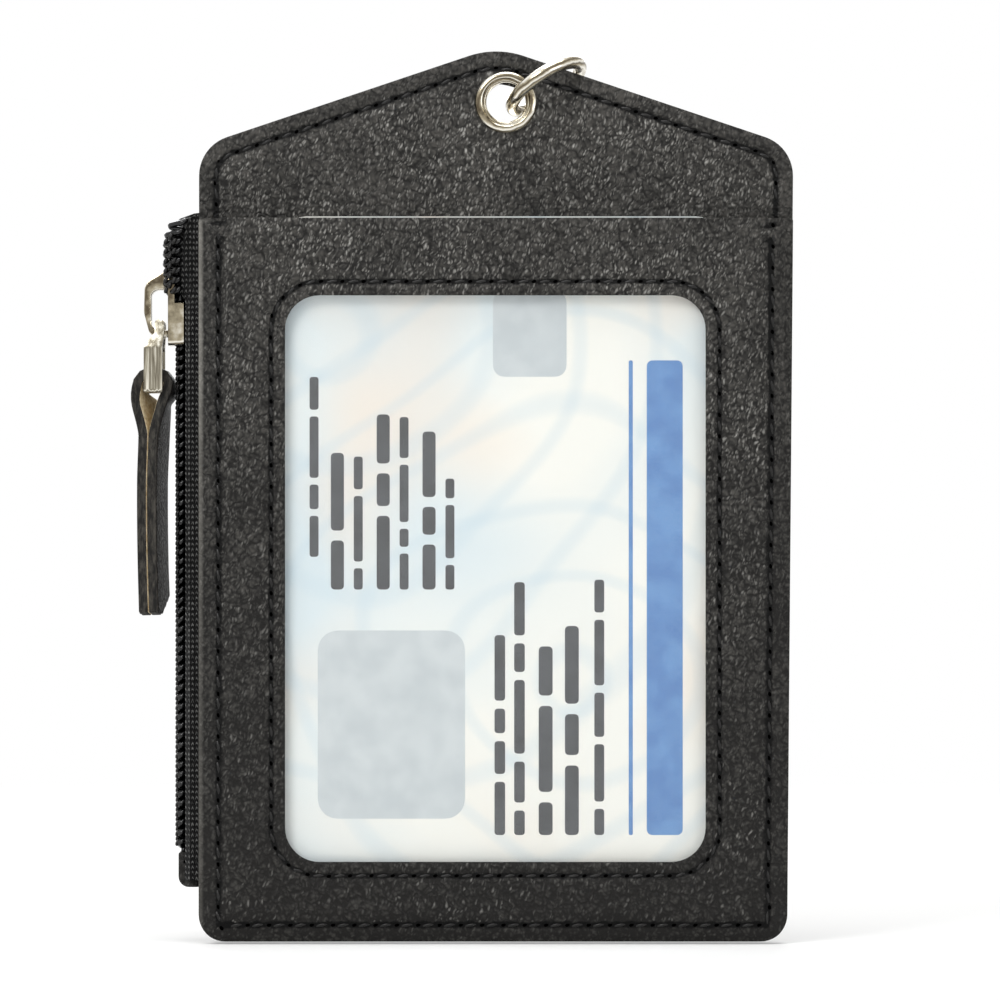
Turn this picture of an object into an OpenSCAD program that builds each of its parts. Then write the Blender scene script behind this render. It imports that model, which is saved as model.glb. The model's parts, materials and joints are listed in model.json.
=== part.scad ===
// ID badge wallet: a peaked leather holder with a clear card window on its front, a zipped
// pocket between its divider and its back, and a jump ring through an eyelet in its peak.
// Millimetres. Seen from the front, X runs right, Y runs to the back and Z runs up.
// The origin is the middle of the eyelet.

/* [Panels] */
// From the window panel's top edge up to the shoulders
shoulder_rise = 9; // [8.5:0.1:12]
// Rise of the peak above the shoulders, up to where its two slopes would meet
peak_rise = 12.2; // [10:0.1:14]
// How much narrower the foot is, all of it on the right
foot_taper = 0.8; // [0:0.1:1.2]
// Radius of the rounded peak
peak_r = 10.5; // [8:0.5:14]
// Radius of the shoulders
shoulder_r = 5; // [3:0.5:7]
// Radius of the two bottom corners
foot_r = 3.3; // [2:0.1:5]
// Thickness of the leather
leather_t = 1.1; // [0.9:0.05:1.2]
// Width of the seam margin down the sides
side_seam_w = 4.6; // [4:0.1:5.5]
// Width of the seam margin along the foot
foot_seam_w = 2.85; // [2.5:0.05:3.2]

/* [Window and card] */
// Radius of the window's corners
window_r = 4.2; // [2:0.1:6]
// From the left edge to the window
window_left = 10.6; // [10.2:0.1:11]
// From the window to the right edge
window_right = 10.8; // [10.4:0.1:11.4]
// From the foot to the window
window_foot = 9.8; // [9:0.1:11]
// From the window to the panel's open top edge
window_top = 9.3; // [8.5:0.1:10.5]
// Run over which the window panel swells up from its edges
swell_run = 3.8; // [3:0.1:4.5]
// Thickness of the clear window sheet
film_t = 0.3; // [0.2:0.05:0.4]
// How far the clear sheet laps behind the leather
film_lap = 3.2; // [2.5:0.1:4]
// Width of the card
card_w = 54; // [53:0.1:54.5]
// Height of the card
card_h = 85.6; // [85.4:0.1:86]
// Thickness of the card
card_t = 0.76; // [0.7:0.01:0.8]
// Radius of the card's corners
card_r = 3.2; // [2:0.1:4]
// Clearance of the card on each side, back and front
card_play = 0.15; // [0.1:0.01:0.2]
// Room beside the card in its pocket, both sides together
card_slack = 9.5; // [8.5:0.1:12]
// How far the card reaches past the window on the left
card_lap = 0.65; // [0.4:0.05:1]
// How far the card stands up past the panel's top edge
card_show = 0.4; // [0.2:0.05:0.8]

/* [Zip pocket] */
// Depth of the pocket at the zip
pocket_d = 8; // [7.8:0.1:9]
// Width of the part of the back that stands at full depth
flat_w = 30; // [25:1:34]
// Length of the slope that closes the pocket at the top
top_slope = 11; // [9:0.5:12]
// From the eyelet down to the top of that slope
top_slope_drop = 8.5; // [8:0.1:9]
// Length of the slope that closes the pocket at the foot
foot_slope = 7.6; // [6:0.1:8.5]
// How strongly the slopes ease in and out, as a share of a full S
ease_share = 0.6; // [0.3:0.05:0.9]
// Thickness of the lining cloth
lining_t = 0.25; // [0.15:0.05:0.3]
// From the side seam to the lining's edge
lining_in = 9; // [8:0.5:12]

/* [Eyelet and ring] */
// From where the peak's slopes would meet down to the eyelet's middle
eyelet_drop = 6.8; // [6.6:0.1:7]
// From the middle of the body to the eyelet, to the right
eyelet_shift = 1.2; // [0.8:0.1:1.5]
// Radius of the eyelet's hole
eyelet_r = 2.4; // [2.35:0.05:2.6]
// Wall of the eyelet's barrel
barrel_t = 0.35; // [0.25:0.05:0.45]
// Outer radius of the eyelet's front rim
rim_r = 3.8; // [3.6:0.05:4]
// How far the front rim stands out of the leather
rim_h = 0.65; // [0.5:0.05:0.7]
// Outer radius of the washer at the back
washer_r = 3.6; // [3.4:0.05:3.8]
// Thickness of the washer
washer_t = 0.3; // [0.2:0.05:0.35]
// Radius of the ring, to the middle of its wire
ring_r = 4.87; // [4.82:0.01:4.9]
// Diameter of the ring's wire
ring_wire_d = 1.6; // [1.4:0.05:1.6]
// Width of the cut in the ring
ring_gap = 0.7; // [0.3:0.1:1.2]
// From the eyelet to the ring's middle, across the front
ring_reach = 5.31; // [5.27:0.02:5.33]
// From the eyelet to the ring's middle, to the back
ring_back = 0.27; // [0.22:0.01:0.32]

/* [Zip] */
// Distance between the teeth of one half
pitch = 1.19; // [1.15:0.01:1.3]
// Diameter of the wire that the teeth are wound from
tooth_d = 0.5; // [0.45:0.01:0.52]
// How far the teeth stand up from the tape
tooth_h = 1.15; // [1:0.05:1.2]
// Length of a tooth across the tape
tooth_l = 2.6; // [2.4:0.1:2.8]
// How far the teeth of one half pass the middle
tooth_bite = 0.45; // [0.35:0.05:0.5]
// Thickness of the tape
tape_t = 0.45; // [0.35:0.05:0.5]
// Width of the tape's flap inside the pocket
flap_w = 5; // [4:0.1:6]
// How far the tape stands out past the leather's left edge
tape_out = 1.75; // [1.7:0.05:1.9]
// Gap between the two halves of the tape
tape_gap = 1.2; // [1.2:0.05:1.5]
// Height of the leather tab over the zip's lower end
tab_h = 4.2; // [3.5:0.1:5]
// Thickness of the tab's leather
tab_t = 0.8; // [0.6:0.05:0.9]

/* [Slider and pull] */
// Length of the slider
slider_l = 10.1; // [9.6:0.1:10.5]
// Width of the slider
slider_w = 6.7; // [6.5:0.05:6.8]
// Thickness of the slider's blades
blade_t = 0.8; // [0.7:0.05:0.85]
// Thickness of the slider's side flanges
flange_t = 0.7; // [0.5:0.05:0.75]
// Length of the side flanges, up from the slider's tail
flange_l = 5.2; // [4.5:0.1:5.4]
// Clearance of the slider on the tape and the teeth
slider_play = 0.2; // [0.15:0.01:0.22]
// Width of the bridge
bridge_w = 2.6; // [2:0.1:2.8]
// Height of the bridge over the blade
bridge_h = 3.05; // [2.9:0.05:3.3]
// Height of the bridge's window over the blade
bridge_window_h = 2.15; // [2.1:0.05:2.2]
// Diameter of the link's bar in the bridge
pin_d = 1.15; // [1:0.05:1.2]
// Length of the link from its bar to its foot
link_l = 8.5; // [8:0.1:9.5]
// Width of the link at its foot
link_w = 8.2; // [8:0.1:9]
// Thickness of the link at its foot
link_t = 2.25; // [2:0.05:2.3]
// Height of the link's bar in the strap
link_bar_h = 1.5; // [1.2:0.05:1.6]
// Width of the strap
strap_w = 5.8; // [5:0.1:5.9]
// Thickness of one layer of the strap
strap_t = 1.25; // [1:0.05:1.35]
// Length of the strap, from the link's foot bar to its end
strap_l = 27.8; // [24:0.1:30]

/* [Hidden] */
$fn = 48;
// Overrun of every cut past the face that it opens
over = 1;
// Room between pieces that are fitted by hand
fit_play = 0.05;

// Body and window, made to the card
body_w = card_w + card_slack + 2 * side_seam_w;
panel_h = foot_seam_w + card_play + card_h - card_show;
side_h = panel_h + shoulder_rise;
window_w = body_w - window_left - window_right;
window_h = panel_h - window_foot - window_top;

// Edges of the body
left_x = -body_w / 2 - eyelet_shift;
right_x = left_x + body_w;
mid_x = left_x + body_w / 2;
apex_z = eyelet_drop;
shoulder_z = apex_z - peak_rise;
foot_z = shoulder_z - side_h;
panel_top_z = foot_z + panel_h;

// Layers from the divider to the front
recess_d = film_t + card_t + 2 * card_play;
film_y = -leather_t - recess_d;
front_y = film_y - leather_t;

// Slopes of the back panel
top_close_z = -top_slope_drop;
top_open_z = top_close_z - top_slope;
foot_close_z = foot_z + foot_seam_w;
foot_open_z = foot_close_z + foot_slope;
slope_steps = 8;

// Places along the zip, from the leather tab up to the end of the tape on the top slope
tab_z = foot_open_z - foot_slope / 4;
zip_z = tab_z + tab_h / 2;
zip_top_share = 0.545;
zip_top_z = top_open_z + zip_top_share * top_slope;
slider_rise_share = 0.9222;
slider_z = mixed(zip_z, zip_top_z, slider_rise_share);
zip_y = pocket_d / 2;

// Levels across the zip, as distances out past the leather's left edge
tape_in = tape_out - tape_t;
tooth_top = tape_out + tooth_h;
blade_in = tooth_top + slider_play;
blade_out = blade_in + blade_t;
inner_blade_out = tape_in - slider_play;
inner_blade_t = blade_t - slider_play / 2;

function unit(v) = v / norm(v);
function reversed(pts) = [for (i = [len(pts) - 1 : -1 : 0]) pts[i]];
function mixed(a, b, t) = a + (b - a) * t;

// Points of the arc of radius r that rounds corner b between its neighbours a and c
function corner(a, b, c, r, steps) =
    let (u = unit(a - b), v = unit(c - b), half = acos(u * v) / 2,
         mid = b + unit(u + v) * r / sin(half),
         p = b + u * r / tan(half) - mid, q = b + v * r / tan(half) - mid,
         start = atan2(p.y, p.x),
         turn = sign(cross(p, q)) * acos(unit(p) * unit(q)))
    [for (i = [0 : steps]) mid + r * [cos(start + turn * i / steps), sin(start + turn * i / steps)]];

// The outline pts with each corner rounded by its radius
function rounded(pts, radii, steps = 6) =
    let (n = len(pts))
    [for (i = [0 : n - 1])
        each (radii[i] > 0
            ? corner(pts[(i + n - 1) % n], pts[i], pts[(i + 1) % n], radii[i], steps)
            : [pts[i]])];

// A share that rises from 0 to 1 in an S
function eased(t) = t - ease_share * sin(360 * t) / (2 * PI);

// Heights and depths along the slopes at the foot and at the top
slope_stations = [
    for (i = [0 : slope_steps]) let (t = i / slope_steps)
        [mixed(foot_close_z, foot_open_z, t), pocket_d * eased(t)],
    for (i = [0 : slope_steps]) let (t = i / slope_steps)
        [mixed(top_open_z, top_close_z, t), pocket_d * (1 - eased(t))]
];

// The peaked outline of the divider and the back, as seen from the front
function body_pts() = rounded(
    [[left_x, foot_z], [right_x - foot_taper, foot_z], [right_x, shoulder_z],
     [mid_x, apex_z], [left_x, shoulder_z]],
    [foot_r, foot_r, shoulder_r, peak_r, shoulder_r], 8);

// The straight-topped outline of the window panel
function panel_pts() =
    let (top_right_x = right_x - foot_taper * (side_h - panel_h) / side_h)
    rounded([[left_x, foot_z], [right_x - foot_taper, foot_z],
             [top_right_x, panel_top_z], [left_x, panel_top_z]],
            [foot_r, foot_r, 0, 0], 8);

// Corners of an upright rectangle
function box_pts(x, z, w, h) = [[x, z], [x + w, z], [x + w, z + h], [x, z + h]];

// Depth of the pocket at a height, beside the zip
function depth_at(z) = lookup(z, slope_stations);

// A shape drawn in X and Z, as a plate from y0 back to y1
module plate(y0, y1) {
    translate([0, y1, 0])
        rotate([90, 0, 0])
            linear_extrude(y1 - y0)
                children();
}

// A shape drawn in Y and Z, as a bar from x0 to x1
module bar(x0, x1) {
    translate([x0, 0, 0])
        rotate([90, 0, 90])
            linear_extrude(x1 - x0)
                children();
}

// A shape drawn in X and Y, as a column from z0 up to z1
module column(z0, z1) {
    translate([0, 0, z0])
        linear_extrude(z1 - z0)
            children();
}

// The space under the back panel's slopes, its roof raised by lift, its floor at floor_y
module pocket_space(lift, floor_y) {
    far_x = right_x - side_seam_w;
    near_x = left_x + flat_w;
    across = [for (i = [0 : slope_steps])
        [mixed(near_x, far_x, i / slope_steps),
         lift + pocket_d * (1 - eased(i / slope_steps))]];
    along = [for (s = slope_stations) [lift + s[1], s[0]]];
    intersection() {
        column(foot_z - over, apex_z + over)
            polygon(concat(
                [[left_x - over, floor_y], [left_x - over, lift + pocket_d]],
                across,
                [[right_x + over, lift], [right_x + over, floor_y]]));
        bar(left_x - over, right_x + over)
            polygon(concat(
                [[floor_y, foot_z - over], [lift, foot_z - over]],
                along,
                [[lift, apex_z + over], [floor_y, apex_z + over]]));
    }
}

// The space under the window panel's swelling front
module swollen_front() {
    steps = 6;
    rise = front_y + 2 * leather_t;
    function swell(i) = -2 * leather_t + rise * sin(90 * i / steps);
    from_left = [for (i = [0 : steps]) [left_x + swell_run * i / steps, swell(i)]];
    to_right = [for (i = [steps : -1 : 0]) [right_x - swell_run * i / steps, swell(i)]];
    from_foot = [for (i = [0 : steps]) [swell(i), foot_z + swell_run * i / steps]];
    intersection() {
        column(foot_z - over, panel_top_z + over)
            polygon(concat(
                [[left_x, -leather_t]], from_left, to_right, [[right_x, -leather_t]]));
        bar(left_x - over, right_x + over)
            polygon(concat(
                [[-leather_t, foot_z]], from_foot,
                [[front_y, panel_top_z + over], [-leather_t, panel_top_z + over]]));
    }
}

module window_outline(grow) {
    polygon(rounded(
        box_pts(left_x + window_left - grow, foot_z + window_foot - grow,
                window_w + 2 * grow, window_h + 2 * grow),
        [for (i = [0 : 3]) window_r]));
}

// Front leather, sewn down on three sides, with the window and the card's recess
module window_panel() color("#2b2a29") {
    recess_w = body_w - 2 * side_seam_w;
    difference() {
        intersection() {
            swollen_front();
            plate(front_y - over, over)
                polygon(panel_pts());
        }
        translate([left_x + side_seam_w, film_y, foot_z + foot_seam_w])
            cube([recess_w, recess_d + over, panel_h]);
        plate(front_y - over, over)
            window_outline(0);
    }
}

// Vinyl sheet sewn behind the window
module clear_window() color("#dfe6ea", 0.35) {
    plate(film_y, film_y + film_t)
        window_outline(film_lap);
}

// Loose card, standing on the foot seam
module id_card() color("#eef1f2") {
    card_x = left_x + window_left - card_lap;
    card_y = film_y + film_t + card_play;
    plate(card_y, card_y + card_t)
        polygon(rounded(
            box_pts(card_x, foot_z + foot_seam_w + card_play, card_w, card_h),
            [for (i = [0 : 3]) card_r]));
}

module eyelet_hole() {
    rotate([90, 0, 0])
        cylinder(h = 2 * (leather_t + over), r = eyelet_r + barrel_t + fit_play, center = true);
}

// Peaked leather between the card and the pocket
module divider_panel() color("#2e2d2c") {
    difference() {
        plate(-leather_t, 0)
            polygon(body_pts());
        eyelet_hole();
    }
}

// Cloth on the pocket side of the divider
module divider_lining() color("#1d1d1f") {
    lining_x = left_x + flap_w + fit_play;
    foot = foot_close_z + foot_slope / 3;
    top = top_close_z - top_slope / 3;
    plate(0, lining_t)
        polygon(rounded(
            box_pts(lining_x, foot, right_x - side_seam_w - lining_in - lining_x, top - foot),
            [for (i = [0 : 3]) foot_r]));
}

// Peaked leather that swells over the pocket and is open along the zip
module back_panel() color("#2e2d2c") {
    difference() {
        intersection() {
            pocket_space(leather_t, 0);
            plate(-over, pocket_d + leather_t + over)
                polygon(body_pts());
        }
        pocket_space(0, -over);
        eyelet_hole();
    }
}

// Cloth inside the back panel
module back_lining() color("#1d1d1f") {
    lining_x = left_x + flap_w + fit_play;
    clear_y = 3 * lining_t;
    difference() {
        intersection() {
            pocket_space(0, 0);
            translate([lining_x, clear_y, foot_z])
                cube([body_w, pocket_d, side_h]);
        }
        pocket_space(-lining_t, -over);
    }
}

// Barrel with a rounded rim at the front and a rolled edge over the washer
module eyelet_barrel() color("#d9d5c8") {
    bead_r = (rim_r - eyelet_r) / 2;
    roll_r = barrel_t;
    back_y = leather_t + washer_t;
    rim = [for (i = [0 : 12]) let (a = 180 * i / 12)
        [eyelet_r + bead_r - bead_r * cos(a), leather_t + rim_h * sin(a)]];
    roll = [for (i = [0 : 8]) let (a = 180 * i / 8)
        [eyelet_r + roll_r + roll_r * cos(a), -back_y - roll_r * sin(a)]];
    rotate([90, 0, 0])
        rotate_extrude()
            polygon(concat(
                rim,
                [[eyelet_r + barrel_t, leather_t], [eyelet_r + barrel_t, -back_y]],
                roll));
}

// Plain washer behind the leather
module eyelet_washer() color("#cfcabd") {
    translate([0, leather_t + washer_t, 0])
        rotate([90, 0, 0])
            difference() {
                cylinder(h = washer_t, r = washer_r);
                translate([0, 0, -over])
                    cylinder(h = washer_t + 2 * over, r = eyelet_r + barrel_t + fit_play);
            }
}

// Ring cut once, through the eyelet and resting on the sloping edge of the peak
module jump_ring() color("#d9d5c8") {
    bearing = 21.9;
    turn = 32.4;
    tilt = 16.25;
    cut_at = -60;
    cut_angle = ring_gap / ring_r * 180 / PI;
    translate([ring_reach * cos(bearing), ring_back, ring_reach * sin(bearing)])
        rotate([0, -turn, 0])
            rotate([180 - tilt, 0, 0])
                rotate([0, 0, cut_at + cut_angle / 2])
                    rotate_extrude(angle = 360 - cut_angle)
                        translate([ring_r, 0])
                            circle(d = ring_wire_d);
}

// Middle line of the front half of the tape at a height, from the flap to the free edge.
// Above the slider it leans out and is then tucked in behind the leather.
flap_y = tape_t / 2;
run_x = -(tape_out - tape_t / 2);
edge_y = zip_y - tape_gap / 2;
bend = tape_t;
lean_shares = [[0.55, 0.17], [1.15, 0.16], [2.05, 0.4]];
tuck_shares = [[0.2, 0.07], [0.35, 0.12], [0.95, 0.26]];
closed_line = [[run_x + bend, flap_y], [run_x, flap_y + bend], [run_x, edge_y]];
lean_line = [for (p = lean_shares) [p.x * run_x, p.y * zip_y]];
tuck_line = [for (p = tuck_shares) [p.x * run_x, p.y * zip_y]];
post_w = tape_gap - slider_play;
post_l = slider_l / 4;
post_in_share = 0.1;
post_wide_share = 2 / 3;
post_z = slider_z - post_in_share * slider_l - post_l;
wedge_z = post_z + post_wide_share * post_l;
split_z = 2 * post_z - wedge_z;
lean_z_share = 0.45;
lean_z = mixed(slider_z, zip_top_z, lean_z_share);
parted_y = tooth_bite + post_w / 2 + slider_play;
lean_lift_share = 0.35;

function tape_line(z) =
    z <= split_z ? closed_line
    : z <= slider_z
        ? let (t = eased(min(1, (z - split_z) / (wedge_z - split_z))))
          [closed_line[0], closed_line[1], closed_line[2] - [0, parted_y * t]]
    : z <= lean_z
        ? let (t = (z - slider_z) / (lean_z - slider_z),
               mouth = [closed_line[0], closed_line[1], closed_line[2] - [0, parted_y]])
          mixed(mouth, lean_line, t)
    : mixed(lean_line, tuck_line, min(1, (z - lean_z) / (zip_top_z - lean_z)));

// The line shifted sideways by d, its corners mitred
function shifted(line, d) = [for (i = [0 : len(line) - 1])
    let (a = unit(i > 0 ? line[i] - line[i - 1] : line[1] - line[0]),
         b = unit(i < len(line) - 1 ? line[i + 1] - line[i] : line[i] - line[i - 1]),
         m = unit(a + b))
    line[i] + d * [-m.y, m.x] / (m * a)];

function tape_section(z) =
    let (line = concat([[flap_w, flap_y], [0, flap_y]], tape_line(z)))
    concat(shifted(line, tape_t / 2), reversed(shifted(line, -tape_t / 2)));

// Depth at which the back half lies: under the slope at the top, and straight at the foot
function half_depth(z) = depth_at(max(z, foot_open_z));

// A point of the front half moved to its own half: the back half is its mirror image
function placed(p, z, back) = [left_x + p.x, back ? half_depth(z) - p.y : p.y, z];

// A solid through strip-shaped sections, each listed up one side and back down the other
module skin(sections) {
    n = len(sections[0]);
    last = (len(sections) - 1) * n;
    side = [for (j = [0 : len(sections) - 2], i = [0 : n - 1])
        let (a = j * n + i, b = j * n + (i + 1) % n)
        each [[a, b, b + n], [a, b + n, a + n]]];
    caps = [for (i = [0 : n / 2 - 2])
        let (a = i, b = i + 1, c = n - 2 - i, d = n - 1 - i)
        each [[a, c, b], [a, d, c], [last + a, last + b, last + c], [last + a, last + c, last + d]]];
    polyhedron(points = [for (s = sections) each s], faces = concat(side, caps));
}

module zip_tape(back) {
    tape_foot_z = tab_z + fit_play - tab_h / 2 + tab_t;
    slopes = [for (s = slope_stations) s[0]];
    heights = concat(
        [tape_foot_z, foot_open_z, split_z],
        [for (i = [1 : 4]) mixed(split_z, wedge_z, i / 4)],
        [slider_z],
        [for (z = slopes) if (z > slider_z + fit_play && z < lean_z - fit_play) z],
        [lean_z],
        [for (z = slopes) if (z > lean_z + fit_play && z < zip_top_z - fit_play) z],
        [zip_top_z]);
    difference() {
        skin([for (z = heights)
            let (s = [for (p = tape_section(z)) placed(p, z, back)])
            back ? reversed(s) : s]);
        // The back panel slopes away from the lower end of its half
        if (back)
            translate([left_x, 0, foot_z])
                cube([flap_w + over, pocket_d + over, foot_open_z - foot_z]);
    }
}

// Half of the tape sewn to the divider
module zip_tape_front() color("#1b1b1d") {
    zip_tape(false);
}

// Half of the tape sewn to the back panel
module zip_tape_back() color("#1b1b1d") {
    zip_tape(true);
}

// One tooth: a loop of wire on the tape, its head at the free end.
// Drawn with the tape's outer face at x = 0 and its free edge at y = 0.
module tooth() {
    r = tooth_d / 2;
    low = -r;
    high = -tooth_h + r;
    head = tape_gap / 2 + tooth_bite - r;
    heel = head - tooth_l + tooth_d;
    for (x = [low, high])
        translate([x, heel, 0])
            rotate([-90, 0, 0])
                cylinder(h = head - heel, d = tooth_d, $fn = 16);
    for (y = [heel, head])
        translate([high - r, y, 0])
            rotate([0, 90, 0])
                cylinder(h = tooth_h, d = tooth_d, $fn = 16);
}

// The teeth of one half, standing on a band that is sewn to the tape
module zip_coil(back) {
    bare_pitches = 2;
    count = floor((zip_top_z - zip_z) / pitch) - bare_pitches;
    first_z = zip_z + pitch / 2 + (back ? pitch / 2 : 0);
    for (i = [0 : count - 1]) {
        z = first_z + i * pitch;
        line = tape_line(z);
        edge = line[2];
        along = unit(line[2] - line[1]);
        lift = z > slider_z ? lean_lift_share * tooth_d : 0;
        face = edge + (tape_t / 2 + lift) * [-along.y, along.x];
        lean = atan2(-along.x, along.y);
        translate([left_x, back ? half_depth(z) : 0, z])
            mirror([0, back ? 1 : 0, 0])
                translate([face.x, face.y, 0])
                    rotate([0, 0, lean])
                        tooth();
    }
}

// Coil on the front half of the tape
module zip_coil_front() color("#141416") {
    zip_coil(false);
}

// Coil on the back half of the tape
module zip_coil_back() color("#141416") {
    zip_coil(true);
}

// Leather folded round the lower end of the tape
module zip_end_tab() color("#2b2a29") {
    side_y = 2 * tape_t;
    outer_x = left_x - tape_out - fit_play - tab_t;
    bottom = tab_z - tab_h / 2;
    difference() {
        plate(side_y, pocket_d - side_y)
            polygon(rounded(box_pts(outer_x, bottom, left_x - fit_play - outer_x, tab_h),
                            [tab_t, tab_t, 0, 0]));
        plate(0, pocket_d)
            polygon(box_pts(outer_x + tab_t, bottom + tab_t, tape_t + 2 * fit_play, tab_h));
    }
}

// Outline of the slider's blades across and along the zip
module blade_outline() {
    half = slider_w / 2;
    tail_half = half - flange_t / 3;
    shoulder = slider_l / 6;
    polygon(rounded(
        [[zip_y - tail_half, slider_z - slider_l], [zip_y + tail_half, slider_z - slider_l],
         [zip_y + half, slider_z - slider_l / 2], [zip_y + half, slider_z - shoulder],
         [zip_y, slider_z],
         [zip_y - half, slider_z - shoulder], [zip_y - half, slider_z - slider_l / 2]],
        [flange_t, flange_t, slider_l, shoulder / 2, slider_l / 6, shoulder / 2, slider_l]));
}

// Two blades held apart by a post, with side flanges that lead the teeth together
module slider_body() color("#d2cec0") {
    channel = slider_w / 2 - flange_t;
    bar(left_x - blade_out, left_x - blade_in)
        blade_outline();
    bar(left_x - inner_blade_out, left_x - inner_blade_out + inner_blade_t)
        blade_outline();
    bar(left_x - blade_in, left_x - inner_blade_out)
        polygon([[zip_y, post_z], [zip_y + post_w / 2, wedge_z],
                 [zip_y, post_z + post_l], [zip_y - post_w / 2, wedge_z]]);
    bar(left_x - blade_in, left_x - tape_out - slider_play)
        intersection() {
            blade_outline();
            for (side_y = [zip_y - slider_w / 2, zip_y + channel])
                polygon(box_pts(side_y, slider_z - slider_l, flange_t, flange_l));
        }
}

// The link's bar hangs in the bridge's window
pin_x = left_x - blade_out - bridge_window_h / 2;
window_foot_share = 0.81;
window_top_share = 0.32;
// Corners of the bridge as shares of its height and of the slider's length
bridge_shares = [[0, 0.9], [0, 0.09], [0.25, 0.1], [0.97, 0.24], [1, 0.6], [0.75, 0.88]];
pin_z = slider_z - window_foot_share * slider_l + pin_d / 2 + slider_play;

// Loop over the outer blade, with a rounded window for the link's bar
module slider_bridge() color("#d2cec0") {
    face_x = left_x - blade_out;
    round_share = 0.45;
    window_h = (window_foot_share - window_top_share) * slider_l;
    outer = rounded(
        [for (s = bridge_shares) [face_x - s.x * bridge_h, slider_z - s.y * slider_l]],
        [0, 0, bridge_h / 4, bridge_h / 2, bridge_h, bridge_h / 3]);
    hole = rounded(
        reversed(box_pts(face_x - bridge_window_h, slider_z - window_foot_share * slider_l,
                         bridge_window_h + over, window_h)),
        [round_share * bridge_window_h, 0, 0, round_share * bridge_window_h]);
    difference() {
        plate(zip_y - bridge_w / 2, zip_y + bridge_w / 2)
            polygon(outer);
        plate(zip_y - bridge_w, zip_y + bridge_w)
            polygon(hole);
    }
}

// Places on the link and the strap, measured from the link's bar
link_foot_z = pin_z - link_l;
link_wire = (link_w - strap_w) / 2 - slider_play;
bar_x = pin_x - link_t / 2 + 2 * slider_play;
bar_z = link_foot_z + link_bar_h / 2;
// Slit between the two layers of the strap
slit_w = strap_t / 10;

// Frame with a round bar in the bridge and a flat bar in the strap
module pull_link() color("#d2cec0") {
    neck_share = 0.8;
    neck_rise_share = 0.33;
    round_share = 0.49;
    edge_r = link_bar_h / 5;
    neck_in = bridge_w / 2 + slider_play;
    neck_half = neck_in + link_wire * neck_share;
    neck_z = pin_z - link_l * neck_rise_share;
    side_profile = rounded(
        [[pin_x + pin_d / 2, pin_z + pin_d / 2], [pin_x - pin_d / 2, pin_z + pin_d / 2],
         [pin_x - pin_d / 2, pin_z - pin_d], [bar_x - link_t / 2, neck_z],
         [bar_x - link_t / 2, link_foot_z], [bar_x + link_t / 2, link_foot_z],
         [bar_x + link_t / 2, neck_z], [pin_x + pin_d / 2, pin_z - pin_d]],
        [pin_d * round_share, pin_d * round_share, 0, link_t / 2, edge_r, edge_r, 0, 0]);
    front = rounded(
        [[zip_y - link_w / 2, link_foot_z], [zip_y + link_w / 2, link_foot_z],
         [zip_y + link_w / 2, neck_z], [zip_y + neck_half, pin_z + pin_d],
         [zip_y - neck_half, pin_z + pin_d], [zip_y - link_w / 2, neck_z]],
        [link_wire / 2, link_wire / 2, link_wire, 0, 0, link_wire]);
    eye = rounded(
        [[zip_y - link_w / 2 + link_wire, link_foot_z + link_bar_h],
         [zip_y + link_w / 2 - link_wire, link_foot_z + link_bar_h],
         [zip_y + link_w / 2 - link_wire, neck_z - link_wire / 2],
         [zip_y + neck_in, neck_z + link_wire], [zip_y + neck_in, pin_z + pin_d * 2],
         [zip_y - neck_in, pin_z + pin_d * 2], [zip_y - neck_in, neck_z + link_wire],
         [zip_y - link_w / 2 + link_wire, neck_z - link_wire / 2]],
        [0, 0, link_wire / 4, 0, 0, 0, 0, link_wire / 4]);
    intersection() {
        plate(zip_y - link_w, zip_y + link_w)
            polygon(side_profile);
        bar(bar_x - link_t, pin_x + link_t)
            difference() {
                polygon(front);
                polygon(eye);
            }
    }
    translate([pin_x, zip_y, pin_z])
        rotate([90, 0, 0])
            cylinder(h = 2 * neck_in + link_wire, d = pin_d, center = true);
}

// Leather strip folded through the link, its two layers meeting below the bar
module pull_strap() color("#2b2a29") {
    half = strap_t + slit_w / 2;
    thin_share = 0.8;
    crown_share = 0.95;
    side_room_share = 1.5;
    top_room_share = 3.5;
    loop_w = link_t / 2 + side_room_share * slider_play;
    void_top = bar_z + link_bar_h / 2 + top_room_share * slider_play;
    void_mid = bar_z - link_bar_h / 2;
    void_foot = bar_z - link_bar_h / 2 - link_l / 2;
    end_z = link_foot_z - strap_l;
    thin_t = strap_t * thin_share;
    crown = loop_w + thin_t * thin_share;
    outer = rounded(
        [[bar_x - half, end_z], [bar_x + half, end_z],
         [bar_x + half, void_foot - strap_t], [bar_x + loop_w + thin_t, void_mid],
         [bar_x + crown, void_top + thin_t], [bar_x - crown, void_top + thin_t],
         [bar_x - loop_w - thin_t, void_mid], [bar_x - half, void_foot - strap_t]],
        [0, 0, strap_l / 4, loop_w, crown, crown, loop_w, strap_l / 4]);
    void = rounded(
        [[bar_x - slit_w / 2, end_z - over], [bar_x + slit_w / 2, end_z - over],
         [bar_x + slit_w / 2, void_foot], [bar_x + loop_w, void_mid],
         [bar_x + loop_w, void_top], [bar_x - loop_w, void_top],
         [bar_x - loop_w, void_mid], [bar_x - slit_w / 2, void_foot]],
        [0, 0, 0, loop_w, crown_share * loop_w, crown_share * loop_w, loop_w, 0]);
    end_cut = strap_w / 5;
    intersection() {
        plate(zip_y - strap_w / 2, zip_y + strap_w / 2)
            difference() {
                polygon(outer);
                polygon(void);
            }
        bar(bar_x - link_t * 2, bar_x + link_t * 2)
            polygon([[zip_y - strap_w / 2 + end_cut, end_z], [zip_y + strap_w / 2 - end_cut, end_z],
                     [zip_y + strap_w / 2, end_z + end_cut], [zip_y + strap_w / 2, void_top + strap_w],
                     [zip_y - strap_w / 2, void_top + strap_w], [zip_y - strap_w / 2, end_z + end_cut]]);
    }
}

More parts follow.
